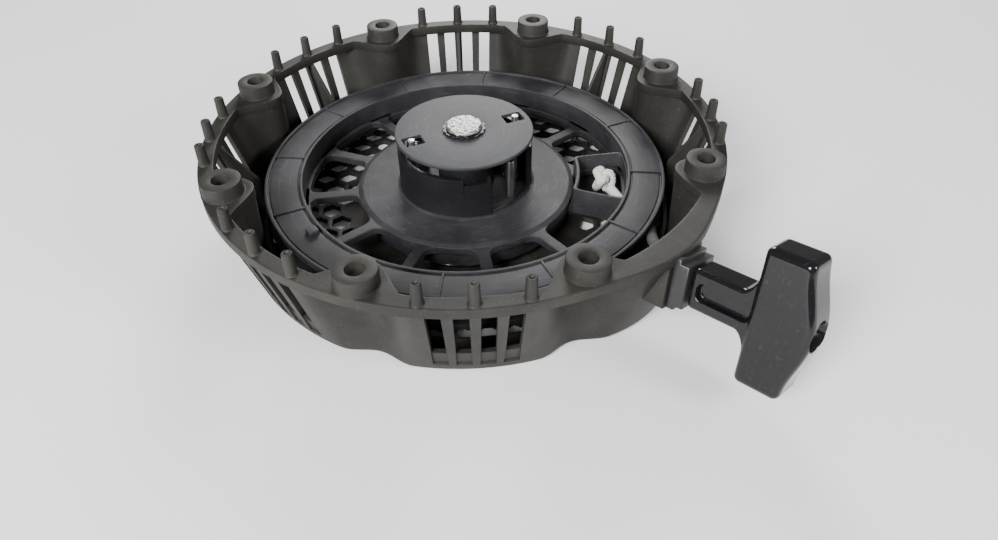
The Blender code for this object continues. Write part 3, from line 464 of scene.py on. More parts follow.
def exitFrame():
    # one frame for the guide, rope and handle: X outwards along the rope, Y along the handle's bar
    way = {"tilt": 6.5, "lean": 13.3, "radius": 132 * mm, "height": 36 * mm}
    angle, tilt, lean = (math.radians(turn) for turn in (exitAngle, way["tilt"], way["lean"]))
    axis = Vector((math.cos(tilt) * math.cos(angle), math.cos(tilt) * math.sin(angle), math.sin(tilt)))
    sideways = Vector((-math.sin(angle), math.cos(angle), 0))
    bar = axis.cross(sideways) * math.cos(lean) + sideways * math.sin(lean)
    turn = Matrix((axis, bar, axis.cross(bar))).transposed()
    origin = Vector((way["radius"] * math.cos(angle), way["radius"] * math.sin(angle), way["height"]))
    return np.array(turn), np.array(origin)


exitTurn, exitOrigin = exitFrame()


def atExit(points):
    return np.asarray(points) @ exitTurn.T + exitOrigin


def sectionKey(across, upright, corner):
    # a rounded rectangle as four rows (a, b, c, d): y = a (w - r) + c r, z = b (t - r) + d r
    rows = []
    for k in range(4):
        turn = k * np.pi / 2
        flat = np.linspace(1, -1, (across, upright)[k % 2])
        side = np.stack([flat, flat * 0 + 1, flat * 0, flat * 0 + 1], 1)    # the face at z = t
        arc = np.linspace(0, np.pi / 2, corner + 2)[1:-1] + np.pi / 2
        bend = np.stack([arc * 0 - 1, arc * 0 + 1, np.cos(arc), np.sin(arc)], 1)
        both = np.concatenate([side, bend])
        cos, sin = round(math.cos(turn)), round(math.sin(turn))
        rows.append(np.stack([both[:, 0] * cos - both[:, 1] * sin, both[:, 0] * sin + both[:, 1] * cos,
                              both[:, 2] * cos - both[:, 3] * sin, both[:, 2] * sin + both[:, 3] * cos], 1))
    return np.concatenate(rows).T


def roundedSection(key, w, t, r):
    w, t, r = (np.asarray(x, float).reshape(-1, 1) for x in (w, t, r))
    a, b, c, d = key
    return a * (w - r) + c * r, b * (t - r) + d * r


def handleGrip():
    # one closed surface: up the stem, along the bar's underside, its side, its bulged end, then down the
    # rope's chamber and bore and back. Underside and end drop by r - sqrt(r^2 - o^2), o being how far a
    # point lies past the start of the rounding
    g = {"start": 11, "under": 38, "end": 57.85, "bulge": 6, "half": 30.75, "thick": 8.4, "round": 3,
         "stem": 9.3, "stemThick": 7, "stemRound": 2, "edge": 1.6, "flare": 6, "neck": 32, "flareLength": 6,
         "groove": 4.2, "grooveMiddle": 26, "grooveHalf": 9, "grooveRound": 3, "grooveDepth": 3,
         "bore": 3.35, "chamber": 6.6, "floor": 46, "chamfer": 0.6}
    key = sectionKey(61, 17, 5)
    rows = []

    def add(u, y, z):
        rows.append(np.stack(np.broadcast_arrays(u, y, z), -1))

    def drop(y, z):
        past = np.hypot(np.maximum(np.abs(y) - g["half"] + g["round"], 0),
                        np.maximum(np.abs(z) - g["thick"] + g["round"], 0))
        return g["round"] - np.sqrt(np.maximum(g["round"] ** 2 - past ** 2, 0))

    def bulge(y):
        return g["bulge"] * (0.5 + 0.5 * np.cos(np.pi * y / g["half"]))

    def circle(radius):
        y, z = roundedSection(key, 9, 9, 3)
        return y / np.hypot(y, z) * radius, z / np.hypot(y, z) * radius

    bend = np.linspace(0, np.pi / 2, 6)[:-1, None]    # the stem's near edge
    grow = g["edge"] * np.sin(bend) - g["edge"]
    y, z = roundedSection(key, g["stem"] + grow, g["stemThick"] + grow, g["stemRound"])
    add(g["start"] + g["edge"] - g["edge"] * np.cos(bend), y, z)
    u = np.linspace(g["start"] + g["edge"], g["under"], 68)[:, None]
    flare = g["flare"] * np.clip((u - g["neck"]) / g["flareLength"], 0, 1) ** 2.6
    y, z = roundedSection(key, g["stem"] + flare, g["stemThick"] + 0 * u, g["stemRound"])
    # the groove: distance to a rounded box, then a soft wall down to the groove's floor
    lengthwise = np.abs(u - g["grooveMiddle"]) - g["grooveHalf"] + 0 * y
    past = np.stack([lengthwise, np.abs(y) - g["groove"] + g["grooveRound"]])
    away = np.linalg.norm(np.maximum(past, 0), axis=0) + np.minimum(past.max(0), 0) - g["grooveRound"]
    hollow = g["grooveDepth"] * smoothStep((0.2 - away) / 0.9) * (np.abs(z) > g["stemThick"] - 0.01)
    z = z - np.sign(z) * hollow
    add(u, y, z)
    stemY, stemZ = y[-1:], z[-1:]
    fullY, fullZ = roundedSection(key, g["half"], g["thick"], g["round"])
    share = 1 - (1 - np.linspace(0, 1, 16)[1:, None]) ** 2
    y, z = stemY + (fullY - stemY) * share, stemZ + (fullZ - stemZ) * share
    add(g["under"] + drop(y, z), y, z)
    low = g["under"] + g["round"]
    high = g["end"] + bulge(fullY) - g["round"]
    add(low + (high - low) * np.linspace(0, 1, 18)[1:, None], fullY, fullZ)
    mouthY, mouthZ = circle(g["chamber"] + 0.5)
    share = (np.linspace(0, 1, 18)[1:, None]) ** 2
    y, z = fullY + (mouthY - fullY) * share, fullZ + (mouthZ - fullZ) * share
    add(g["end"] + bulge(y) - drop(y, z), y, z)
    rim = g["end"] + bulge(mouthY) - drop(mouthY, mouthZ) - 0.5
    wide = g["bore"] + g["chamfer"]
    for radius, u in ((g["chamber"], rim), (g["chamber"], g["floor"]), (wide, g["floor"]),
                      (g["bore"], g["floor"] - g["chamfer"]), (g["bore"], g["start"] + 0.8),
                      (g["bore"] + 0.8, g["start"])):
        add(u, *circle(radius))
    shape = Shape()
    shape.grid(atExit(np.concatenate(rows) * mm), closeU=True, closeV=True)
    return finishPiece("handle_moulding", shape, "handle_plastic", "grip", ("handle_grip",), sharp=52)


def braided(path, radius, around=48, turns=7.0, pitch=26 * mm, depth=0.3 * mm, travel=None):
    # two families of strands, a = n th + k s and b = n th - k s; each cell shows the strand on top, whose
    # height across it is |sin| of its own phase, a little arched along it
    step = np.linalg.norm(np.diff(path, axis=0), axis=1)
    s = np.concatenate([[0], np.cumsum(step)]) if travel is None else travel
    theta = np.arange(around) * 2 * np.pi / around
    a = turns * theta[None] + 2 * np.pi * turns * s[:, None] / pitch
    b = turns * theta[None] - 2 * np.pi * turns * s[:, None] / pitch
    pa, pb = np.abs(np.sin(a / 2)), np.abs(np.sin(b / 2))
    over = np.sin(a / 2) * np.sin(b / 2) > 0
    height = np.where(over, pa ** 0.6 * (0.7 + 0.3 * pb), pb ** 0.6 * (0.7 + 0.3 * pa))
    r = radius - depth + depth * height
    section = np.stack([r * np.cos(theta), r * np.sin(theta)], -1)
    return carried(path, section)


def ropePiece(name, path, stands, body, around, **braid):
    shape = Shape()
    points = braided(path, rope["radius"], around, **braid)
    shape.grid(points, closeV=True)
    for centre, inside, ring in ((path[0], path[1], points[0]), (path[-1], path[-2], points[-1])):
        # a low dome over each cut end
        outward = (centre - inside) / np.linalg.norm(centre - inside)
        turn = np.linspace(0, np.pi / 2, 5)[:, None, None]
        dome = centre + (ring - centre) * np.cos(turn) + outward * rope["radius"] * 0.25 * np.sin(turn)
        shape.grid(dome, closeV=True)
    # the rope_run finish is the rope darkened as painted shade
    return finishPiece(name, shape, "braided_rope", body, stands, sharp=70, finish="rope_run")


def along(path, spacing):    # the same path, in even steps
    path = np.asarray(path, float)
    s = np.concatenate([[0], np.cumsum(np.linalg.norm(np.diff(path, axis=0), axis=1))])
    even = np.linspace(0, s[-1], int(s[-1] / spacing) + 2)
    return np.stack([np.interp(even, s, path[:, k]) for k in range(3)], 1)


def smoothed(path, rounds=6):    # rounds off corners, keeping both ends
    path = np.array(path, float)
    for _ in range(rounds):
        path[1:-1] = (path[:-2] + 2 * path[1:-1] + path[2:]) / 4
    return path


rope = {"radius": 2.75 * mm, "height": 22.15 * mm, "inner": 90.05 * mm, "outer": 96.05 * mm, "anchor": -26.0,
        "knotRadius": 71 * mm, "knotAngle": -5.0, "corner": -10 * mm, "guideEnd": 10.5 * mm}
cornerPoint = atExit([rope["corner"], 0, 0])
leaveAngle = exitAngle + math.degrees(math.acos(rope["outer"] / math.hypot(*cornerPoint[:2])))
knotSpot = polar(rope["knotRadius"], rope["knotAngle"], rope["height"])
anchorSpot = polar(rope["inner"], rope["anchor"], rope["height"])


def ropeWinding():
    # two flat layers of rope in the reel's groove, from the hole by the knot to where it runs straight out
    total = (rope["anchor"] - leaveAngle) % 360 + 360
    turned = np.arange(4, total, 1.0)
    radii = rope["inner"] + (rope["outer"] - rope["inner"]) * smoothStep((turned - 330) / 40)
    run = np.linspace(0.35, 1, 20)[:, None]
    start = knotSpot + (anchorSpot - knotSpot) * run
    coil = polar(radii, rope["anchor"] - turned, rope["height"])
    path = smoothed(along(np.concatenate([start, coil]), 0.8 * mm), 24)
    return ropePiece("wound_rope", path, ("rope_winding",), "reel", 28, depth=0.25 * mm)


def ropeLead():
    # straight out of the groove, rising to the guide, then round its edge
    leaves = polar(rope["outer"], leaveAngle, rope["height"])
    run = (cornerPoint - leaves) * [1, 1, 0]
    length = np.linalg.norm(run)
    clear = rope["outer"] + 2 * rope["radius"] + 1 * mm
    first, last = math.sqrt(clear ** 2 - rope["outer"] ** 2), length - 6.5 * mm
    s = np.linspace(first, last, 60)[:, None]
    rise = smoothStep((s - first) / (last - first)) * (cornerPoint[2] - rope["height"])
    path = leaves + run * s / length + rise * [0, 0, 1]
    path = np.concatenate([path, cornerPoint[None], atExit([[5.5 * mm, 0, 0]])])
    path = smoothed(along(path, 0.35 * mm), 260)
    return ropePiece("rope_run", path, ("rope_lead",), "housing", 60)


def ropeStretch():
    # from inside the guide to the handle's knot. Its rings are bunched where it passes from housing to
    # handle, as the inverse of a smooth step, and the braid's pattern is laid out as for the rope drawn out
    # by the pull
    run = {"start": 4.6, "from": 6.5, "to": 11.6, "end": 47.4, "pull": 1030, "rings": 1500, "step": 0.35}
    before = np.arange(run["start"], run["from"], run["step"])
    share = np.linspace(0, 1, run["rings"])
    inverse = 0.5 - np.sin(np.arcsin(np.clip(1 - 2 * share, -1, 1)) / 3)
    between = run["from"] + (run["to"] - run["from"]) * inverse
    after = np.arange(run["to"] + run["step"], run["end"], run["step"])
    u = np.concatenate([before, between, after])
    drawn = run["from"] + share * (run["pull"] + run["to"] - run["from"])
    travel = np.concatenate([before, drawn, after + run["pull"]]) * mm
    line = np.stack([np.linspace(0, 1, len(u)), u * 0, u * 0], 1)    # even, so that the frames are steady
    across = (braided(line, rope["radius"], 28, travel=travel) - line[:, None]) * [0, 1, 1]
    shape = Shape()
    shape.grid(atExit(across + (u * mm)[:, None, None] * [1, 0, 0]), closeV=True, capU=True)
    mesh = shape.mesh("pull_rope")
    piece = added("pull_rope", mesh)
    # the rope_run finish is the rope darkened as painted shade
    mesh.materials.append(finishes["rope_run"])
    mesh.shade_smooth()
    start, end = (Vector(atExit([run[key] * mm, 0, 0])) for key in ("from", "to"))
    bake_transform(piece)
    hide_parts("handle_rope")
    return piece


def knotCurve(size, count=720):
    # a trefoil, x = sin t + 2 sin 2t, y = cos t - 2 cos 2t, z = -sin 3t, drawn in to the given half sizes
    t = np.linspace(0, 2 * np.pi, count, endpoint=False)
    curve = np.stack([np.sin(t) + 2 * np.sin(2 * t), np.cos(t) - 2 * np.cos(2 * t), -1.5 * np.sin(3 * t)], 1)
    return curve / np.abs(curve).max(0) * size


def knotPiece(name, centre, size, turn, stands, body, strand, bead=None):
    # three strands laid together, |cos(1.5 th + 3 k s)|, each of finer yarns that twist the other way
    shape = Shape()
    curve = knotCurve(np.asarray(size) - strand) @ turn.T + centre
    theta = np.arange(72) * 2 * np.pi / 72
    s = np.cumsum(np.linalg.norm(np.roll(curve, -1, 0) - curve, axis=1))
    tangent = np.roll(curve, -1, 0) - np.roll(curve, 1, 0)
    tangent /= np.linalg.norm(tangent, axis=1)[:, None]
    outward = curve - centre
    outward -= (outward * tangent).sum(1)[:, None] * tangent
    outward /= np.linalg.norm(outward, axis=1)[:, None]
    side = np.cross(tangent, outward)
    ks = (2 * np.pi * round(s[-1] / (9 * mm)) / s[-1] * s)[:, None]
    lay = np.abs(np.cos(1.5 * theta + 3 * ks))
    yarn = np.sin(12 * theta - 12 * ks) * np.sin(5 * theta + 21 * ks)
    crush = np.sin(7 * ks + 2 * np.sin(theta))
    r = (strand * (0.79 + 0.16 * lay ** 0.7 + 0.045 * yarn + 0.03 * crush))[..., None]
    about = np.cos(theta)[:, None] * outward[:, None] + np.sin(theta)[:, None] * side[:, None]
    shape.grid(curve[:, None] + r * about, closeU=True, closeV=True)
    if bead is not None:    # the cut end, melted to a smooth bead: its place and the way it points
        place, way = bead
        turn = np.linspace(0, np.pi, 24)
        wide = 1.12 * np.sin(turn) * (1 + 0.05 * np.cos(3 * turn))
        profile = strand * np.stack([wide, -1.3 * np.cos(turn)], 1)
        ball = polar(profile[None, :, 0], np.arange(32)[:, None] * 360 / 32, profile[None, :, 1])
        shape.grid(ball @ axesTo(way).T + place, closeU=True)
    return finishPiece(name, shape, "braided_rope", body, stands, sharp=70)


def axesTo(direction):    # a turn that carries +Z onto the direction
    return np.array(Vector(direction).to_track_quat("Z", "Y").to_matrix())


def knots():
    # the anchor knot against its pocket's wall, its bead standing up, and the knot inside the handle
    k = {"half": (6.4, 7.8, 5.6), "strand": 2.35, "share": 0.35, "back": 8.86, "beadBack": 3.4, "beadUp": 3.2,
         "beadLean": 0.6, "pullSpot": 53.3, "pullHalf": (5.1, 5.3, 5.1), "pullStrand": 2.1}
    run = (anchorSpot - knotSpot) / np.linalg.norm(anchorSpot - knotSpot)
    centre = knotSpot + (anchorSpot - knotSpot) * k["share"] - run * k["back"] * mm
    turn = np.array(Vector(run).to_track_quat("Y", "Z").to_matrix())
    beadSpot = centre - run * k["beadBack"] * mm + np.array([0, 0, k["beadUp"] * mm])
    knotPiece("anchor_knot", centre, np.multiply(k["half"], mm), turn, ("rope_knot",), "reel",
              k["strand"] * mm, (beadSpot, [0, 0, k["beadLean"]] - run))
    knotPiece("pull_knot", atExit([k["pullSpot"] * mm, 0, 0]), np.multiply(k["pullHalf"], mm), exitTurn,
              ("handle_knot",), "rope_end", k["pullStrand"] * mm)


ropeWinding()
ropeLead()
ropeStretch()
knots()
handleGrip()
print("rope and handle ready")


def centreBolt():
    # head with a coarse uneven face: radius and height wander by a few sines of the angle
    b = {"foot": 29.3, "shank": 3, "low": 52.2, "rim": 53.3, "shoulder": 53.85, "crown": 0.25, "radius": 9.5}
    a = np.arange(96)[:, None] * 2 * np.pi / 96
    face = [(r, b["shoulder"] + b["crown"] * (1 - r / 8.8)) for r in np.linspace(8.4, 0, 22)]
    profile = np.array([(0, b["foot"]), (b["shank"] - 0.5, b["foot"]), (b["shank"], b["foot"] + 0.5),
                        (b["shank"], b["low"]), (b["radius"] - 0.3, b["low"]), (b["radius"], b["low"] + 0.3),
                        (b["radius"], b["rim"] - 0.3), (b["radius"] - 0.15, b["rim"] - 0.05),
                        (b["radius"] - 0.7, b["shoulder"])] + face)
    r, z = profile[None, :, 0], profile[None, :, 1]
    wander = 0.16 * np.sin(5 * a + 1) + 0.1 * np.sin(11 * a + 2) + 0.07 * np.sin(17 * a)
    radius = r + (z > b["low"] + 0.1) * (r / b["radius"]) * np.minimum(wander - 0.33, 0)
    rough = 0.1 * np.sin(1.9 * r + 3 * a) * np.sin(2.3 * r - 5 * a) + 0.07 * np.sin(4.1 * r + 7 * a)
    sunk = np.minimum(rough * np.minimum(r, 2) / 2 - 0.12, 0) * np.clip((b["radius"] - r) * 2, 0, 1)
    height = z + (z > b["rim"]) * sunk
    shape = Shape()
    shape.grid(np.stack([radius * np.cos(a), radius * np.sin(a), height], -1) * mm, closeU=True)
    return finishPiece("bolt_and_head", shape, "rough_steel", "housing", ("centre_bolt",), sharp=50)


def lockRing():
    # sixteen saw teeth, bent up and down in turn, round a thin ring
    k = {"low": 51.3, "radius": 11.0, "bore": 3.3, "teeth": 16, "steps": 12}
    steps = k["teeth"] * k["steps"]
    phase = (np.arange(steps) / k["steps"]) % 1
    tooth = 0.93 + 0.07 * np.interp(phase, [0, 0.3, 0.42, 0.88, 1], [0, 0, 1, 0.75, 0])
    shares = np.array([0, 0.02, 0.5, 0.9, 0.985, 1, 1, 0.985, 0.9, 0.5, 0.02, 0])
    z = np.array([0.08, 0, 0, 0, 0, 0.1, 0.5, 0.6, 0.6, 0.6, 0.6, 0.52])
    radius = k["bore"] + (k["radius"] * tooth[:, None] - k["bore"]) * shares
    angle = np.arange(steps)[:, None] * 360 / steps
    shape = Shape()
    shape.grid(polar(radius * mm, angle, (k["low"] + z) * mm), closeU=True, closeV=True)
    return finishPiece("toothed_washer", shape, "dark_steel", "housing", ("lock_ring",), sharp=35)


def coil(name, spring, stands, body, centre=(0, 0), start=0.0):
    # a round wire on a helix whose first and last turns lie flat
    turns = spring["turns"]
    t = np.linspace(0, 1, int(turns * 48))
    level = np.interp(t * turns, [0, 0.8, turns - 0.8, turns], np.repeat([spring["low"], spring["high"]], 2))
    path = polar(spring["radius"] * mm, start + 360 * turns * t, level * mm) + [*centre, 0]
    theta = np.arange(12) * np.pi / 6
    shape = Shape()
    wire = spring["wire"] * mm * np.stack([np.cos(theta), np.sin(theta)], 1)
    shape.grid(carried(path, wire), closeV=True, capU=True)
    return finishPiece(name, shape, "spring_steel", body, stands, sharp=60)


plateSpring = {"radius": 10.8, "low": 42.1, "high": 46.8, "turns": 2.5, "wire": 0.8}
pawlSpring = {"radius": 4.4, "low": 21.5, "high": 23.5, "turns": 1.5, "wire": 0.5}
pawlPivot = np.array([24.0, 0.8, 0]) * mm    # the first pawl's; the second is half a turn on
centreBolt()
lockRing()
coil("plate_spring_wire", plateSpring, ("brake_spring",), "plate")
for number, turn in ((1, 0), (2, 180)):
    coil(f"pawl_wire_{number}", pawlSpring, (f"pawl_spring_{number}",), "reel",
         (aboutZ(turn) @ pawlPivot)[:2], turn + 30)
print("centre ready")


def housingShell():
    # the section, carried round the axis on columns that follow the slots' edges: the angle of a column is
    # its centre plus a share of asin(half width / R). The wall's radius leans out with height, dips in at
    # each bolt pocket by a cosine of the angle, and swells at the rope's exit by exp(-(angle / width)^2)
    h = {"rim": 130.0, "base": 116.0, "high": 46.0, "top": 51.0, "step": 1.4, "pocketTop": 19.2,
         "pocketBase": 4.5, "halfTop": 11.4, "halfBase": 9.0, "swellTop": 5.0, "swellBase": 4.0,
         "swellWidth": 13.0, "windows": 7, "windowStep": 45, "slots": 4, "slotStep": 5, "slotDegrees": 1.62,
         "slotHalf": 3.5, "slotLow": 16.0, "slotHigh": 45.4, "columnStep": 0.45, "wall": 2.6, "inner": 122.5,
         "lip": 108.7, "floor": 3.0, "recessLow": 5.0, "recess": 1.0, "bolts": 8, "firstBolt": 22.5,
         "boss": 120.0, "hole": 4.1, "collar": 9.3, "collarTop": 58.0, "pinCircle": 126.5, "pinStep": 10.03}
    middles = [h["windowStep"] * window + (k - (h["slots"] - 1) / 2) * h["slotStep"]
               for window in range(h["windows"]) for k in range(h["slots"])]
    stops = [(middle, edge) for middle in middles for edge in (-1.0, -0.94, 0.94, 1.0)]
    stops += [(angle, 0.0) for angle in (292.0, 315.0, 338.0)]    # the stretch with no window
    stops.append((stops[0][0] + 360, -1.0))
    columns = []
    for (c0, e0), (c1, e1) in zip(stops, stops[1:]):
        width = c1 + h["slotDegrees"] * e1 - c0 - h["slotDegrees"] * e0
        count = max(1, round(width / h["columnStep"]))
        share = np.arange(count) / count
        columns.append(np.stack([c0 + (c1 - c0) * share, e0 + (e1 - e0) * share], 1))
    centre, edge = np.concatenate(columns).T
    rough = centre + h["slotDegrees"] * edge    # each column's angle before the radius is known
    slotAt = np.zeros(len(rough), bool)
    for middle in middles:
        slotAt |= np.abs((rough - middle + 180) % 360 - 180) < h["slotDegrees"] * 0.97

    def pocket(half):
        off = np.abs(rough % 45 - h["firstBolt"])
        return 0.5 + 0.5 * np.cos(np.pi * np.clip(off / half, 0, 1))

    swell = np.exp(-(((rough - exitAngle + 180) % 360 - 180) / h["swellWidth"]) ** 2)
    wallLow = h["base"] - h["pocketBase"] * pocket(h["halfBase"]) + h["swellBase"] * swell
    wallHigh = h["rim"] - h["step"] - h["pocketTop"] * pocket(h["halfTop"]) + h["swellTop"] * swell

    def at(z, out=0.0):    # a loop of the outer wall at height z, moved along its normal by out
        radius = wallLow + (wallHigh - wallLow) * z / h["high"]
        loop = polar(radius, centre + edge * np.degrees(np.arcsin(h["slotHalf"] / radius)))[:, :2]
        run = np.roll(loop, -1, 0) - np.roll(loop, 1, 0)
        normal = np.stack([run[:, 1], -run[:, 0]], 1) / np.linalg.norm(run, axis=1)[:, None]
        return loop + normal * np.reshape(out, (-1, 1))

    def circle(radius):
        return polar(radius, rough)[:, :2]

    rim = h["rim"] + h["swellTop"] * swell
    innerHigh = at(h["high"], -h["wall"])
    reach = np.linalg.norm(innerHigh, axis=1)
    flange = np.minimum(reach - 0.4, h["inner"])[:, None]
    toward = innerHigh / reach[:, None]
    rows = [(at(z, -inset), z) for inset, z in ((1.9, 0.0), (1.1, 0.15), (0.45, 0.6), (0.1, 1.3))]
    zs = np.concatenate([[2.0, 3.4, 4.9, 5.3], np.arange(6.5, 15.6, 1.5), [15.7, h["slotLow"]],
                         np.arange(17.5, 44.5, 1.5), [45.0, h["slotHigh"], 45.8]])
    recess = np.where(slotAt, h["recess"], 0.0)
    outerFrom = len(rows)
    for z in zs:
        depth = recess * smoothStep((z - h["recessLow"] + 0.1) / 0.4) * (z < h["slotLow"] - 0.01)
        rows.append((at(z, -depth), z))
    rows.append((at(h["high"], 0.15), h["high"]))
    rows += [(circle(rim - inset), z) for inset, z in (
        (0.2, h["high"] + 0.02), (0, h["high"] + 0.25), (0, 48.2), (0, h["top"] - 0.7),
        (0.18, h["top"] - 0.2), (0.7, h["top"]))]
    rows += [(circle(rim - 0.7) * (1 - share) + toward * (flange + 0.4) * share, h["top"])
             for share in np.linspace(0, 1, 17)[1:]]
    rows += [(toward * (flange + 0.1), h["top"] - 0.12), (toward * flange, h["top"] - 0.5),
             (toward * flange, h["high"] + 0.1)]
    rows += [(toward * (flange + 0.05) * (1 - share) + innerHigh * share, h["high"])
             for share in np.linspace(0, 1, 5)]
    innerFrom = len(rows)
    rows += [(at(z, -h["wall"]), z if z > 2.9 else h["floor"] + 0.1) for z in zs[::-1]]
    rows += [(at(h["floor"], -h["wall"] - 0.4), h["floor"]), (circle(h["lip"] + 0.3), h["floor"]),
             (circle(h["lip"]), 2.7), (circle(h["lip"]), 0.3), (circle(h["lip"] + 0.3), 0.0)]
    points = np.stack([np.concatenate([loop, np.full((len(loop), 1), z)], 1) for loop, z in rows], 1)

    def mirrored(row):    # the row of the inner skin at the height of one of the outer skin
        return innerFrom + len(zs) - 1 - (row - outerFrom)

    # cells left open: the slots through both skins, and the bolt holes
    gaps = np.zeros(points.shape[:2], bool)
    slotCell = slotAt & np.roll(slotAt, -1)
    low, high = (outerFrom + int(np.argmin(np.abs(zs - h[level]))) for level in ("slotLow", "slotHigh"))
    gaps[slotCell, low:high] = True
    gaps[slotCell, mirrored(high):mirrored(low)] = True
    corner = (points + np.roll(points, -1, 0) + np.roll(points, -1, 1)) / 3
    bosses = [polar(h["boss"], h["firstBolt"] + 360 / h["bolts"] * k)[:2] for k in range(h["bolts"])]
    for spot in bosses:
        near = np.linalg.norm(corner[..., :2] - spot, axis=-1) < h["hole"] + 1.4
        gaps |= near & (corner[..., 2] > h["high"] - 1)
    shape = Shape()
    index = shape.grid(points * mm, closeU=True, closeV=True, hole=gaps)
    # slot walls: each hole's edge on the outer skin is joined to the same edge on the inner one
    rise = np.arange(low + 1, high)

    def edgeLoop(cols, row):
        return np.concatenate([index[cols, row(low)], index[cols[-1], row(rise)],
                               index[cols[::-1], row(high)], index[cols[0], row(rise)][::-1]])

    for first in np.where(slotCell & ~np.roll(slotCell, 1))[0]:
        last = first
        while slotCell[last % len(slotCell)]:
            last += 1
        cols = np.arange(first, last + 1) % len(slotCell)
        outer, inner = edgeLoop(cols, lambda row: row), edgeLoop(cols, mirrored)
        shape.faces += np.stack([outer, np.roll(outer, -1), np.roll(inner, -1), inner], 1).tolist()
    # collars with a bored hole, and tapered pins with a dimple in the end
    hole, collar, top = h["hole"], h["collar"], h["collarTop"]
    collar = np.array([(hole, 45.85), (hole, top - 0.7), (hole + 0.15, top - 0.2), (hole + 0.6, top),
                       (collar - 0.7, top), (collar - 0.2, top - 0.2), (collar, top - 0.7),
                       (collar + 0.05, 52), (collar + 0.3, 51.2), (collar + 0.8, 50.9), (7.4, 50.2),
                       (6.6, 45.85)]) * mm
    pin = np.array([(0, 46.4), (2.75, 46.4), (3.1, 51.0), (2.78, 51.4), (2.62, 52.4), (2.35, 60.9),
                    (2.2, 61.4), (1.9, 61.6), (1.35, 61.55), (1.05, 61.2), (0.5, 60.75), (0, 60.7)]) * mm
    for spot in bosses:
        turned(shape, collar, 72, spot * mm)
    for window in range(h["windows"]):
        for k in (-1, 0, 1):
            angle = h["windowStep"] * window + k * h["pinStep"]
            turned(shape, pin, 32, polar(h["pinCircle"] * mm, angle)[:2], closed=False)
    return finishPiece("housing_moulding", shape, "housing_plastic", "housing", ("housing_shell",), sharp=38)


def slab(shape, outline, low, high, place, edge):
    # a flat outline with thickness, its edges rounded: each ring is the outline drawn in by the arc's inset
    outline = np.asarray(outline, float)
    following = np.roll(outline, -1, 0)
    run = (following - outline) / np.linalg.norm(following - outline, axis=1)[:, None]
    area = (outline[:, 0] * following[:, 1] - following[:, 0] * outline[:, 1]).sum() / 2
    normal = np.stack([-run[:, 1], run[:, 0]], 1) * np.sign(area)
    before = np.roll(normal, 1, 0)
    inward = (normal + before) / (1 + (normal * before).sum(1))[:, None]
    arc = np.linspace(0, np.pi / 2, 4)
    inset = edge - edge * np.sin(np.concatenate([arc, arc[::-1]]))
    z = np.concatenate([low + edge - edge * np.cos(arc), high - edge + edge * np.cos(arc[::-1])])
    flat = outline[None] + inward[None] * inset[:, None, None]
    points = np.concatenate([flat, np.broadcast_to(z[:, None, None], (*flat.shape[:2], 1))], -1)
    shape.grid(place(points * mm), closeV=True, capU=True)


def housingFins():
    # a leaning rib behind the middle of each window, and the flat pad the rope's guide sits on
    f = {"thick": 0.9, "windows": 7, "padWide": 23.5, "padHigh": 25.0, "padFrom": -12.0, "padHeel": -7.5,
         "padEnd": 2.7, "bore": 6.7}
    outline = [(115.3, 2.2), (127.2, 46.0), (123.0, 46.6), (108.2, 26.6), (107.6, 25.0), (107.6, 4.0),
               (109.3, 4.0), (109.3, 2.2)]
    upright = np.array([[1, 0, 0], [0, 0, -1], [0, 1, 0]])
    shape = Shape()
    for window in range(f["windows"]):
        turn = aboutZ(45 * window)
        slab(shape, outline, -f["thick"], f["thick"], lambda p: p @ upright.T @ turn.T, 0.3)
    half, wide = f["padHigh"] / 2, f["padWide"] / 2
    pad = [(f["padFrom"], -half), (f["padEnd"], -half), (f["padEnd"], half), (f["padHeel"], half)]
    slab(shape, pad, -wide, wide, atExit, 0.8)
    bore = Shape()
    turned(bore, np.array([(0, -20), (f["bore"], -20), (f["bore"], 8), (0, 8)]) * mm, 48, closed=False)
    swap = np.array([[0, 0, 1], [1, 0, 0], [0, 1, 0]])
    bore.points = [atExit(p @ swap.T) for p in bore.points]
    return finishPiece("housing_ribs", shape, "housing_plastic", "housing", sharp=38,
                       cutters=(cutterOf(bore, "guide_bore"),))


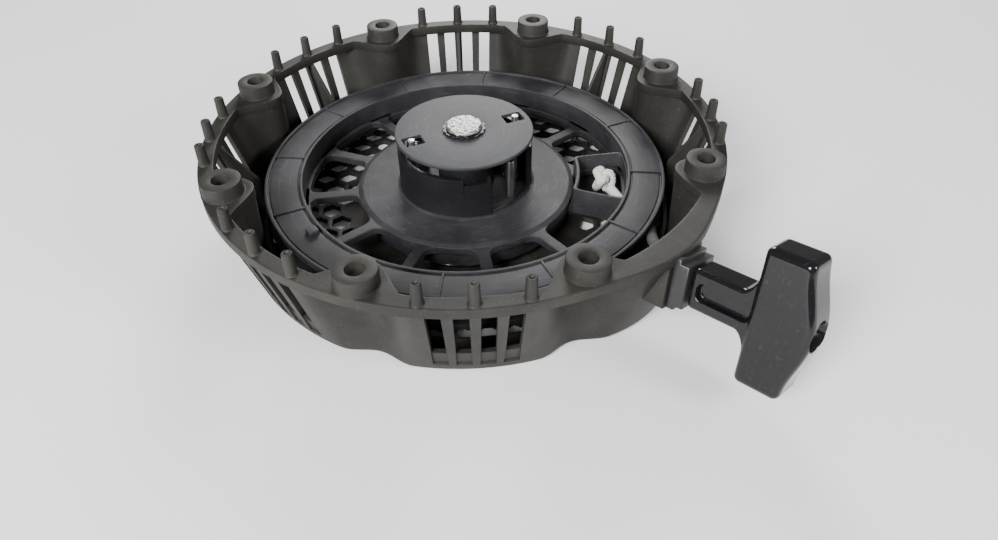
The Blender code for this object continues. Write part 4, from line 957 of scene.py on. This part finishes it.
def reelRing():
    # the rope's groove, and a flat plate over it between two lips; then thin ribs across the plate, and a
    # small block
    r = {"inner": 84.2, "outer": 103.2, "top": 30.0, "plate": 29.3, "sunk": 28.8, "lip": 1.7, "floor": 87.0,
         "high": 25.2, "edge": 27.0, "low": 15.2, "bottom": 12.2, "bore": 3.5, "ribs": 12, "firstRib": 21.5,
         "missing": 7, "rib": 0.6, "ribFrom": 85.0, "ribTo": 102.3, "ribFoot": 28.6, "ribTop": 29.9,
         "block": -145, "blockTop": 31.8}
    near, far, rim = r["inner"] + r["lip"], r["outer"] - r["lip"], r["outer"]
    corners = [(r["inner"], r["bottom"]), (r["inner"], r["top"]), (near, r["top"]), (near + 0.1, r["sunk"]),
               (near + 0.9, r["sunk"]), (near + 1.1, r["plate"]), (far - 1.1, r["plate"]),
               (far - 0.9, r["sunk"]), (far - 0.1, r["sunk"]), (far, r["top"]), (rim, r["top"]),
               (rim, r["edge"]), (r["floor"], r["high"]), (r["floor"], r["low"]), (rim, r["low"]),
               (rim, r["bottom"])]
    radii = [0.4, 0.45, 0.4, 0.15, 0.15, 0.2, 0.2, 0.15, 0.15, 0.4, 0.45, 0.3, 0.8, 0.8, 0.3, 0.4]
    shape = Shape()
    turned(shape, roundedProfile(corners, radii) * mm, 360)
    bore = Shape()
    run = anchorSpot - knotSpot
    turned(bore, np.array([(0, 0), (r["bore"], 0), (r["bore"], 12), (0, 12)]) * mm, 32, closed=False)
    bore.points = [p @ axesTo(run).T + knotSpot + run * 0.55 for p in bore.points]
    finishPiece("reel_ring", shape, "reel_plastic", "reel", ("reel",), sharp=38,
                cutters=(cutterOf(bore, "rope_bore"),))
    shape = Shape()
    start, end, half = r["ribFrom"], r["ribTo"], r["rib"]
    bar = [(start, -half), (end, -half), (end, half), (start, half)]
    for k in range(r["ribs"]):
        turn = aboutZ(r["firstRib"] + 360 / r["ribs"] * k)
        if k != r["missing"]:
            slab(shape, bar, r["ribFoot"], r["ribTop"], lambda p: p @ turn.T, 0.22)
    turn = aboutZ(r["block"])
    block = roundedProfile([(87.4, -3), (92.6, -3), (92.6, 3), (87.4, 3)], 1.2, 5)
    slab(shape, block, r["ribFoot"], r["blockTop"], lambda p: p @ turn.T, 0.5)
    return finishPiece("ring_ribs", shape, "reel_plastic", "reel", ("reel",), sharp=38)


def reelHub():
    # hub plate, bearing sleeve and spring cup in one section; the drum's wall, whose top steps down and opens
    # by the angle; spokes whose half width flares at both ends by r - sqrt(r^2 - (r - x)^2)
    d = {"inner": 31.8, "outer": 34.6, "top": 43.0, "step": 39.6, "open": 21.3, "floor": 20.5, "foot": 19.5,
         "spoke": 2.8, "corner": 5.0, "near": 57.0, "far": 82.2, "spokes": 12, "firstSpoke": 6, "missing": 11,
         "spokeLow": 15.5, "spokeHigh": 19.5, "rim": 85.0}
    shape = Shape()
    low, high = d["spokeLow"], d["spokeHigh"]
    corners = [(10.3, 17.5), (10.3, 41.0), (14.3, 41.0), (14.3, d["floor"]), (54.4, d["floor"]),
               (d["near"], high), (d["near"], low), (55.3, low), (55.3, 7.4), (52.5, 7.4), (52.5, 17.5)]
    turned(shape, roundedProfile(corners, [0.3, 0.4, 0.4, 1.2, 1.6, 0.4, 0.5, 0, 0.4, 0.3, 0.8]) * mm, 288)
    rim = [(d["far"], low), (d["far"], high), (d["rim"], high), (d["rim"], low)]
    turned(shape, roundedProfile(rim, 0.5) * mm, 288)
    # the drum's columns: close pairs where its top changes
    marks = [(-93, d["step"]), (-72.5, d["top"]), (-70, d["open"]), (-12, d["top"])]
    marks = sorted(marks + [(mark + 180, level) for mark, level in marks])
    angles, tops = [], []
    for k, (mark, level) in enumerate(marks):
        following = marks[(k + 1) % len(marks)][0] + (360 if k + 1 == len(marks) else 0)
        before = marks[k - 1][1]
        inside = np.linspace(mark + 0.5, following - 0.5, max(2, round((following - mark) / 1.5)))
        angles += [mark + np.array([-0.3, -0.18, 0, 0.18, 0.3]), inside]
        soft = before + (level - before) * np.array([0.03, 0.1, 0.5, 0.9, 0.97])
        tops += [soft, np.full(len(inside), level)]
    angles, t = np.concatenate(angles), np.concatenate(tops)
    inner, outer, floor, foot = d["inner"], d["outer"], d["floor"], d["foot"]
    section = [(inner, foot), (inner, t - 0.5), (inner + 0.12, t - 0.15), (inner + 0.45, t),
               (outer - 0.45, t), (outer - 0.12, t - 0.15), (outer, t - 0.5),
               (outer, np.minimum(t - 0.5, floor + 1.5)), (outer + 0.35, np.minimum(t - 0.6, floor + 0.5)),
               (outer + 1.5, floor + 0.02), (outer + 1.5, foot)]
    points = np.stack([polar(radius, angles, z) for radius, z in section], 1)
    shape.grid(points * mm, closeU=True, closeV=True)
    # spokes, as sections along the radius
    reach = np.concatenate([[55.2], np.linspace(d["near"] - 0.4, d["near"] + 5, 10), [70.0],
                            np.linspace(d["far"] - 5, d["far"] + 0.6, 10), [84.6]])

    def flare(x):
        bend = d["corner"]
        curve = np.sqrt(np.maximum(bend ** 2 - (bend - np.clip(x, 0, 9)) ** 2, 0))
        return np.where(x < bend, bend - curve, 0)

    half = d["spoke"] + flare(reach - d["near"]) + flare(d["far"] - reach)
    y, z = roundedSection(sectionKey(7, 5, 3), half, 0 * half + 2.0, 0.5)
    bar = np.stack([reach[:, None] + 0 * y, y, z + 17.5], -1)
    for k in range(d["spokes"]):
        if k != d["missing"]:    # a wall of the knot's pocket takes this one's place
            shape.grid(bar @ aboutZ(d["firstSpoke"] + 360 / d["spokes"] * k).T * mm, closeV=True, capU=True)
    post = roundedProfile([(2.6, 20), (2.6, 24.2), (3.6, 24.2), (3.6, 20)], 0.15, 2)
    for turn in (0, 180):    # bosses under the pawls
        turned(shape, post * mm, 40, (aboutZ(turn) @ pawlPivot)[:2])
    return finishPiece("reel_hub", shape, "reel_plastic", "reel", ("reel",), sharp=38)


def knotBox():
    # a pocket between two radii and two angles: the outer skin up, over the rim, down the hollow to its floor
    b = {"from": -24.0, "to": 6.0, "inner": 58.2, "outer": 86.0, "low": 12.6, "top": 27.5, "hollow": 60.0,
         "far": 83.9, "side": 1.15, "floor": 14.4}
    outer = (b["inner"], b["outer"], b["from"], b["to"])
    hollow = (b["hollow"], b["far"], b["from"] + b["side"], b["to"] - b["side"])

    def sector(bounds, inset):
        near, far, start, end = np.add(bounds, [inset, -inset, 0, 0])
        grow = math.degrees(inset / 72)
        a = np.linspace(start + grow, end - grow, 25)
        share = np.linspace(0, 1, 9)[1:-1]
        loop = np.concatenate([polar(far, a), polar(far + (near - far) * share, a[-1]), polar(near, a[::-1]),
                               polar(near + (far - near) * share, a[0])])
        for _ in range(2):
            loop = (np.roll(loop, 1, 0) + 4 * loop + np.roll(loop, -1, 0)) / 6
        return loop

    low, top, floor = b["low"], b["top"], b["floor"]
    rows = [(outer, 0.6, low), (outer, 0.15, low + 0.2), (outer, 0, low + 0.7), (outer, 0, top - 0.5),
            (outer, 0.12, top - 0.12), (outer, 0.4, top), (hollow, -0.3, top),
            (hollow, -0.08, top - 0.1), (hollow, 0, top - 0.4), (hollow, 0, floor + 0.8),
            (hollow, 0.25, floor + 0.2), (hollow, 0.8, floor)]
    points = np.stack([sector(bounds, inset) + [0, 0, z] for bounds, inset, z in rows])
    shape = Shape()
    shape.grid(points * mm, closeV=True, capU=True)
    return finishPiece("knot_pocket", shape, "reel_plastic", "reel", ("reel",), sharp=38)


def frictionPlate():
    # a thin disc with a rolled edge, and two square windows cut through it
    p = {"bore": 7.3, "radius": 35.2, "low": 49.0, "high": 50.8, "window": 20.0, "from": 22.0, "to": 32.3,
         "half": 4.2}
    bore, radius, low, high = p["bore"], p["radius"], p["low"], p["high"]
    edge = [(bore, low), (radius, low), (radius, high), (bore, high)]
    profile = roundedProfile(edge, [0.3, 0.5, 0.6, 0.3], 5)
    shape = Shape()
    turned(shape, profile * mm, 240)
    windows = Shape()
    near, far, half = p["from"], p["to"], p["half"]
    square = roundedProfile([(near, -half), (far, -half), (far, half), (near, half)], 0.7)
    for angle in (p["window"], p["window"] + 180):
        turn = aboutZ(angle)
        slab(windows, square, 45, 54, lambda q: q @ turn.T, 0.01)
    return finishPiece("pressed_plate", shape, "coated_steel", "plate", ("friction_plate",), sharp=38,
                       cutters=(cutterOf(windows, "plate_windows"),))


def coiledStrip():
    # radius grows with the share of the run to the power 0.8; the inner end stands next to the post
    c = {"inner": 8.2, "outer": 50.5, "turns": 7, "strip": 0.9, "low": 8.3, "high": 15.9}
    share = np.linspace(0, 1, c["turns"] * 90)[:, None]
    radius = c["inner"] + (c["outer"] - c["inner"]) * share ** 0.8
    low, high, thick = c["low"], c["high"], c["strip"]
    section = roundedProfile([(0, low), (thick, low), (thick, high), (0, high)], 0.2, 3)
    points = polar(radius + section[None, :, 0], -20 - 360 * c["turns"] * (1 - share), section[None, :, 1])
    shape = Shape()
    shape.grid(points * mm, closeV=True, capU=True)
    return finishPiece("coiled_strip", shape, "spring_steel", "reel", ("recoil_spring",), sharp=40)


housingShell()
housingFins()
print("housing ready")
reelRing()
reelHub()
knotBox()
frictionPlate()
coiledStrip()
print("reel ready")


# CAD nodes kept in shape, with the width in millimetres that their edges are rounded by
bevels = {"honeycomb_face": 0.25, "rope_guide": 0.5, "centre_post": 0.3, "pawl_1": 0.4, "pawl_2": 0.4,
          "pawl_pin_1": 0.4, "pawl_pin_2": 0.4, "reel_bush": 0.25, "thrust_washer": 0.2, "handle_washer": 0.2,
          "spring_cover": 0.2, "post_screw_1": 0.2, "post_screw_2": 0.2, "post_screw_3": 0.2}
for node, width in bevels.items():
    softened(node, width * mm)
print("mouldings ready")

room = {"floor": (0.86, 0.86, 0.86), "half": 3, "drop": 0.0004, "sky": 0.22, "middle": (0, 0, 0.03),
        "lights": {"key": ((-0.7, -1.0, 0.85), 0.7, 46), "fill": ((1.0, -0.6, 0.6), 0.4, 10),
                   "back": ((0.1, 1.1, 0.65), 0.6, 16)},    # place, width and power
        "camera": (-0.0029679, -0.3339460, 0.2547348), "lens": 27.38508, "sensor": 36,
        "turns": ((-3.42744, "Z"), (48.00669, "X"), (-0.54042, "Z"))}


def floorPaper():
    finish = Finish("floor_paper", room["floor"], 0.75)
    finish.set("Roughness", 0.75 + finish.noise(9) * 0.1)
    return finish.material


def areaLight(name, spot, size, power):
    light = bpy.data.lights.new(name, "AREA")
    light.shape, light.size, light.energy = "DISK", size, power
    lamp = added(name, light)
    lamp.location = spot
    lamp.rotation_euler = (Vector(room["middle"]) - Vector(spot)).to_track_quat("-Z", "Y").to_euler()


def studio():
    shape = Shape()
    side = np.array([-room["half"], room["half"]])
    corners = np.meshgrid(side, side, indexing="ij")
    shape.grid(np.stack([*corners, np.full((2, 2), -room["drop"])], -1))
    mesh = shape.mesh("studio_floor")
    mesh.materials.append(floorPaper())
    added("studio_floor", mesh)
    world = bpy.data.worlds.new("studio")
    world.use_nodes = True
    world.node_tree.nodes["Background"].inputs["Color"].default_value = (1, 1, 1, 1)
    world.node_tree.nodes["Background"].inputs["Strength"].default_value = room["sky"]
    bpy.context.scene.world = world
    for name, (spot, size, power) in room["lights"].items():
        areaLight(name, spot, size, power)


def camera():
    lens = bpy.data.cameras.new("camera")
    lens.lens, lens.sensor_width, lens.clip_start, lens.clip_end = room["lens"], room["sensor"], 0.01, 20
    made = added("camera", lens)
    made.matrix_world = Matrix.Translation(room["camera"])
    for degrees, axis in room["turns"]:
        made.matrix_world = made.matrix_world @ Matrix.Rotation(math.radians(degrees), 4, axis)
    bpy.context.scene.camera = made


studio()
camera()
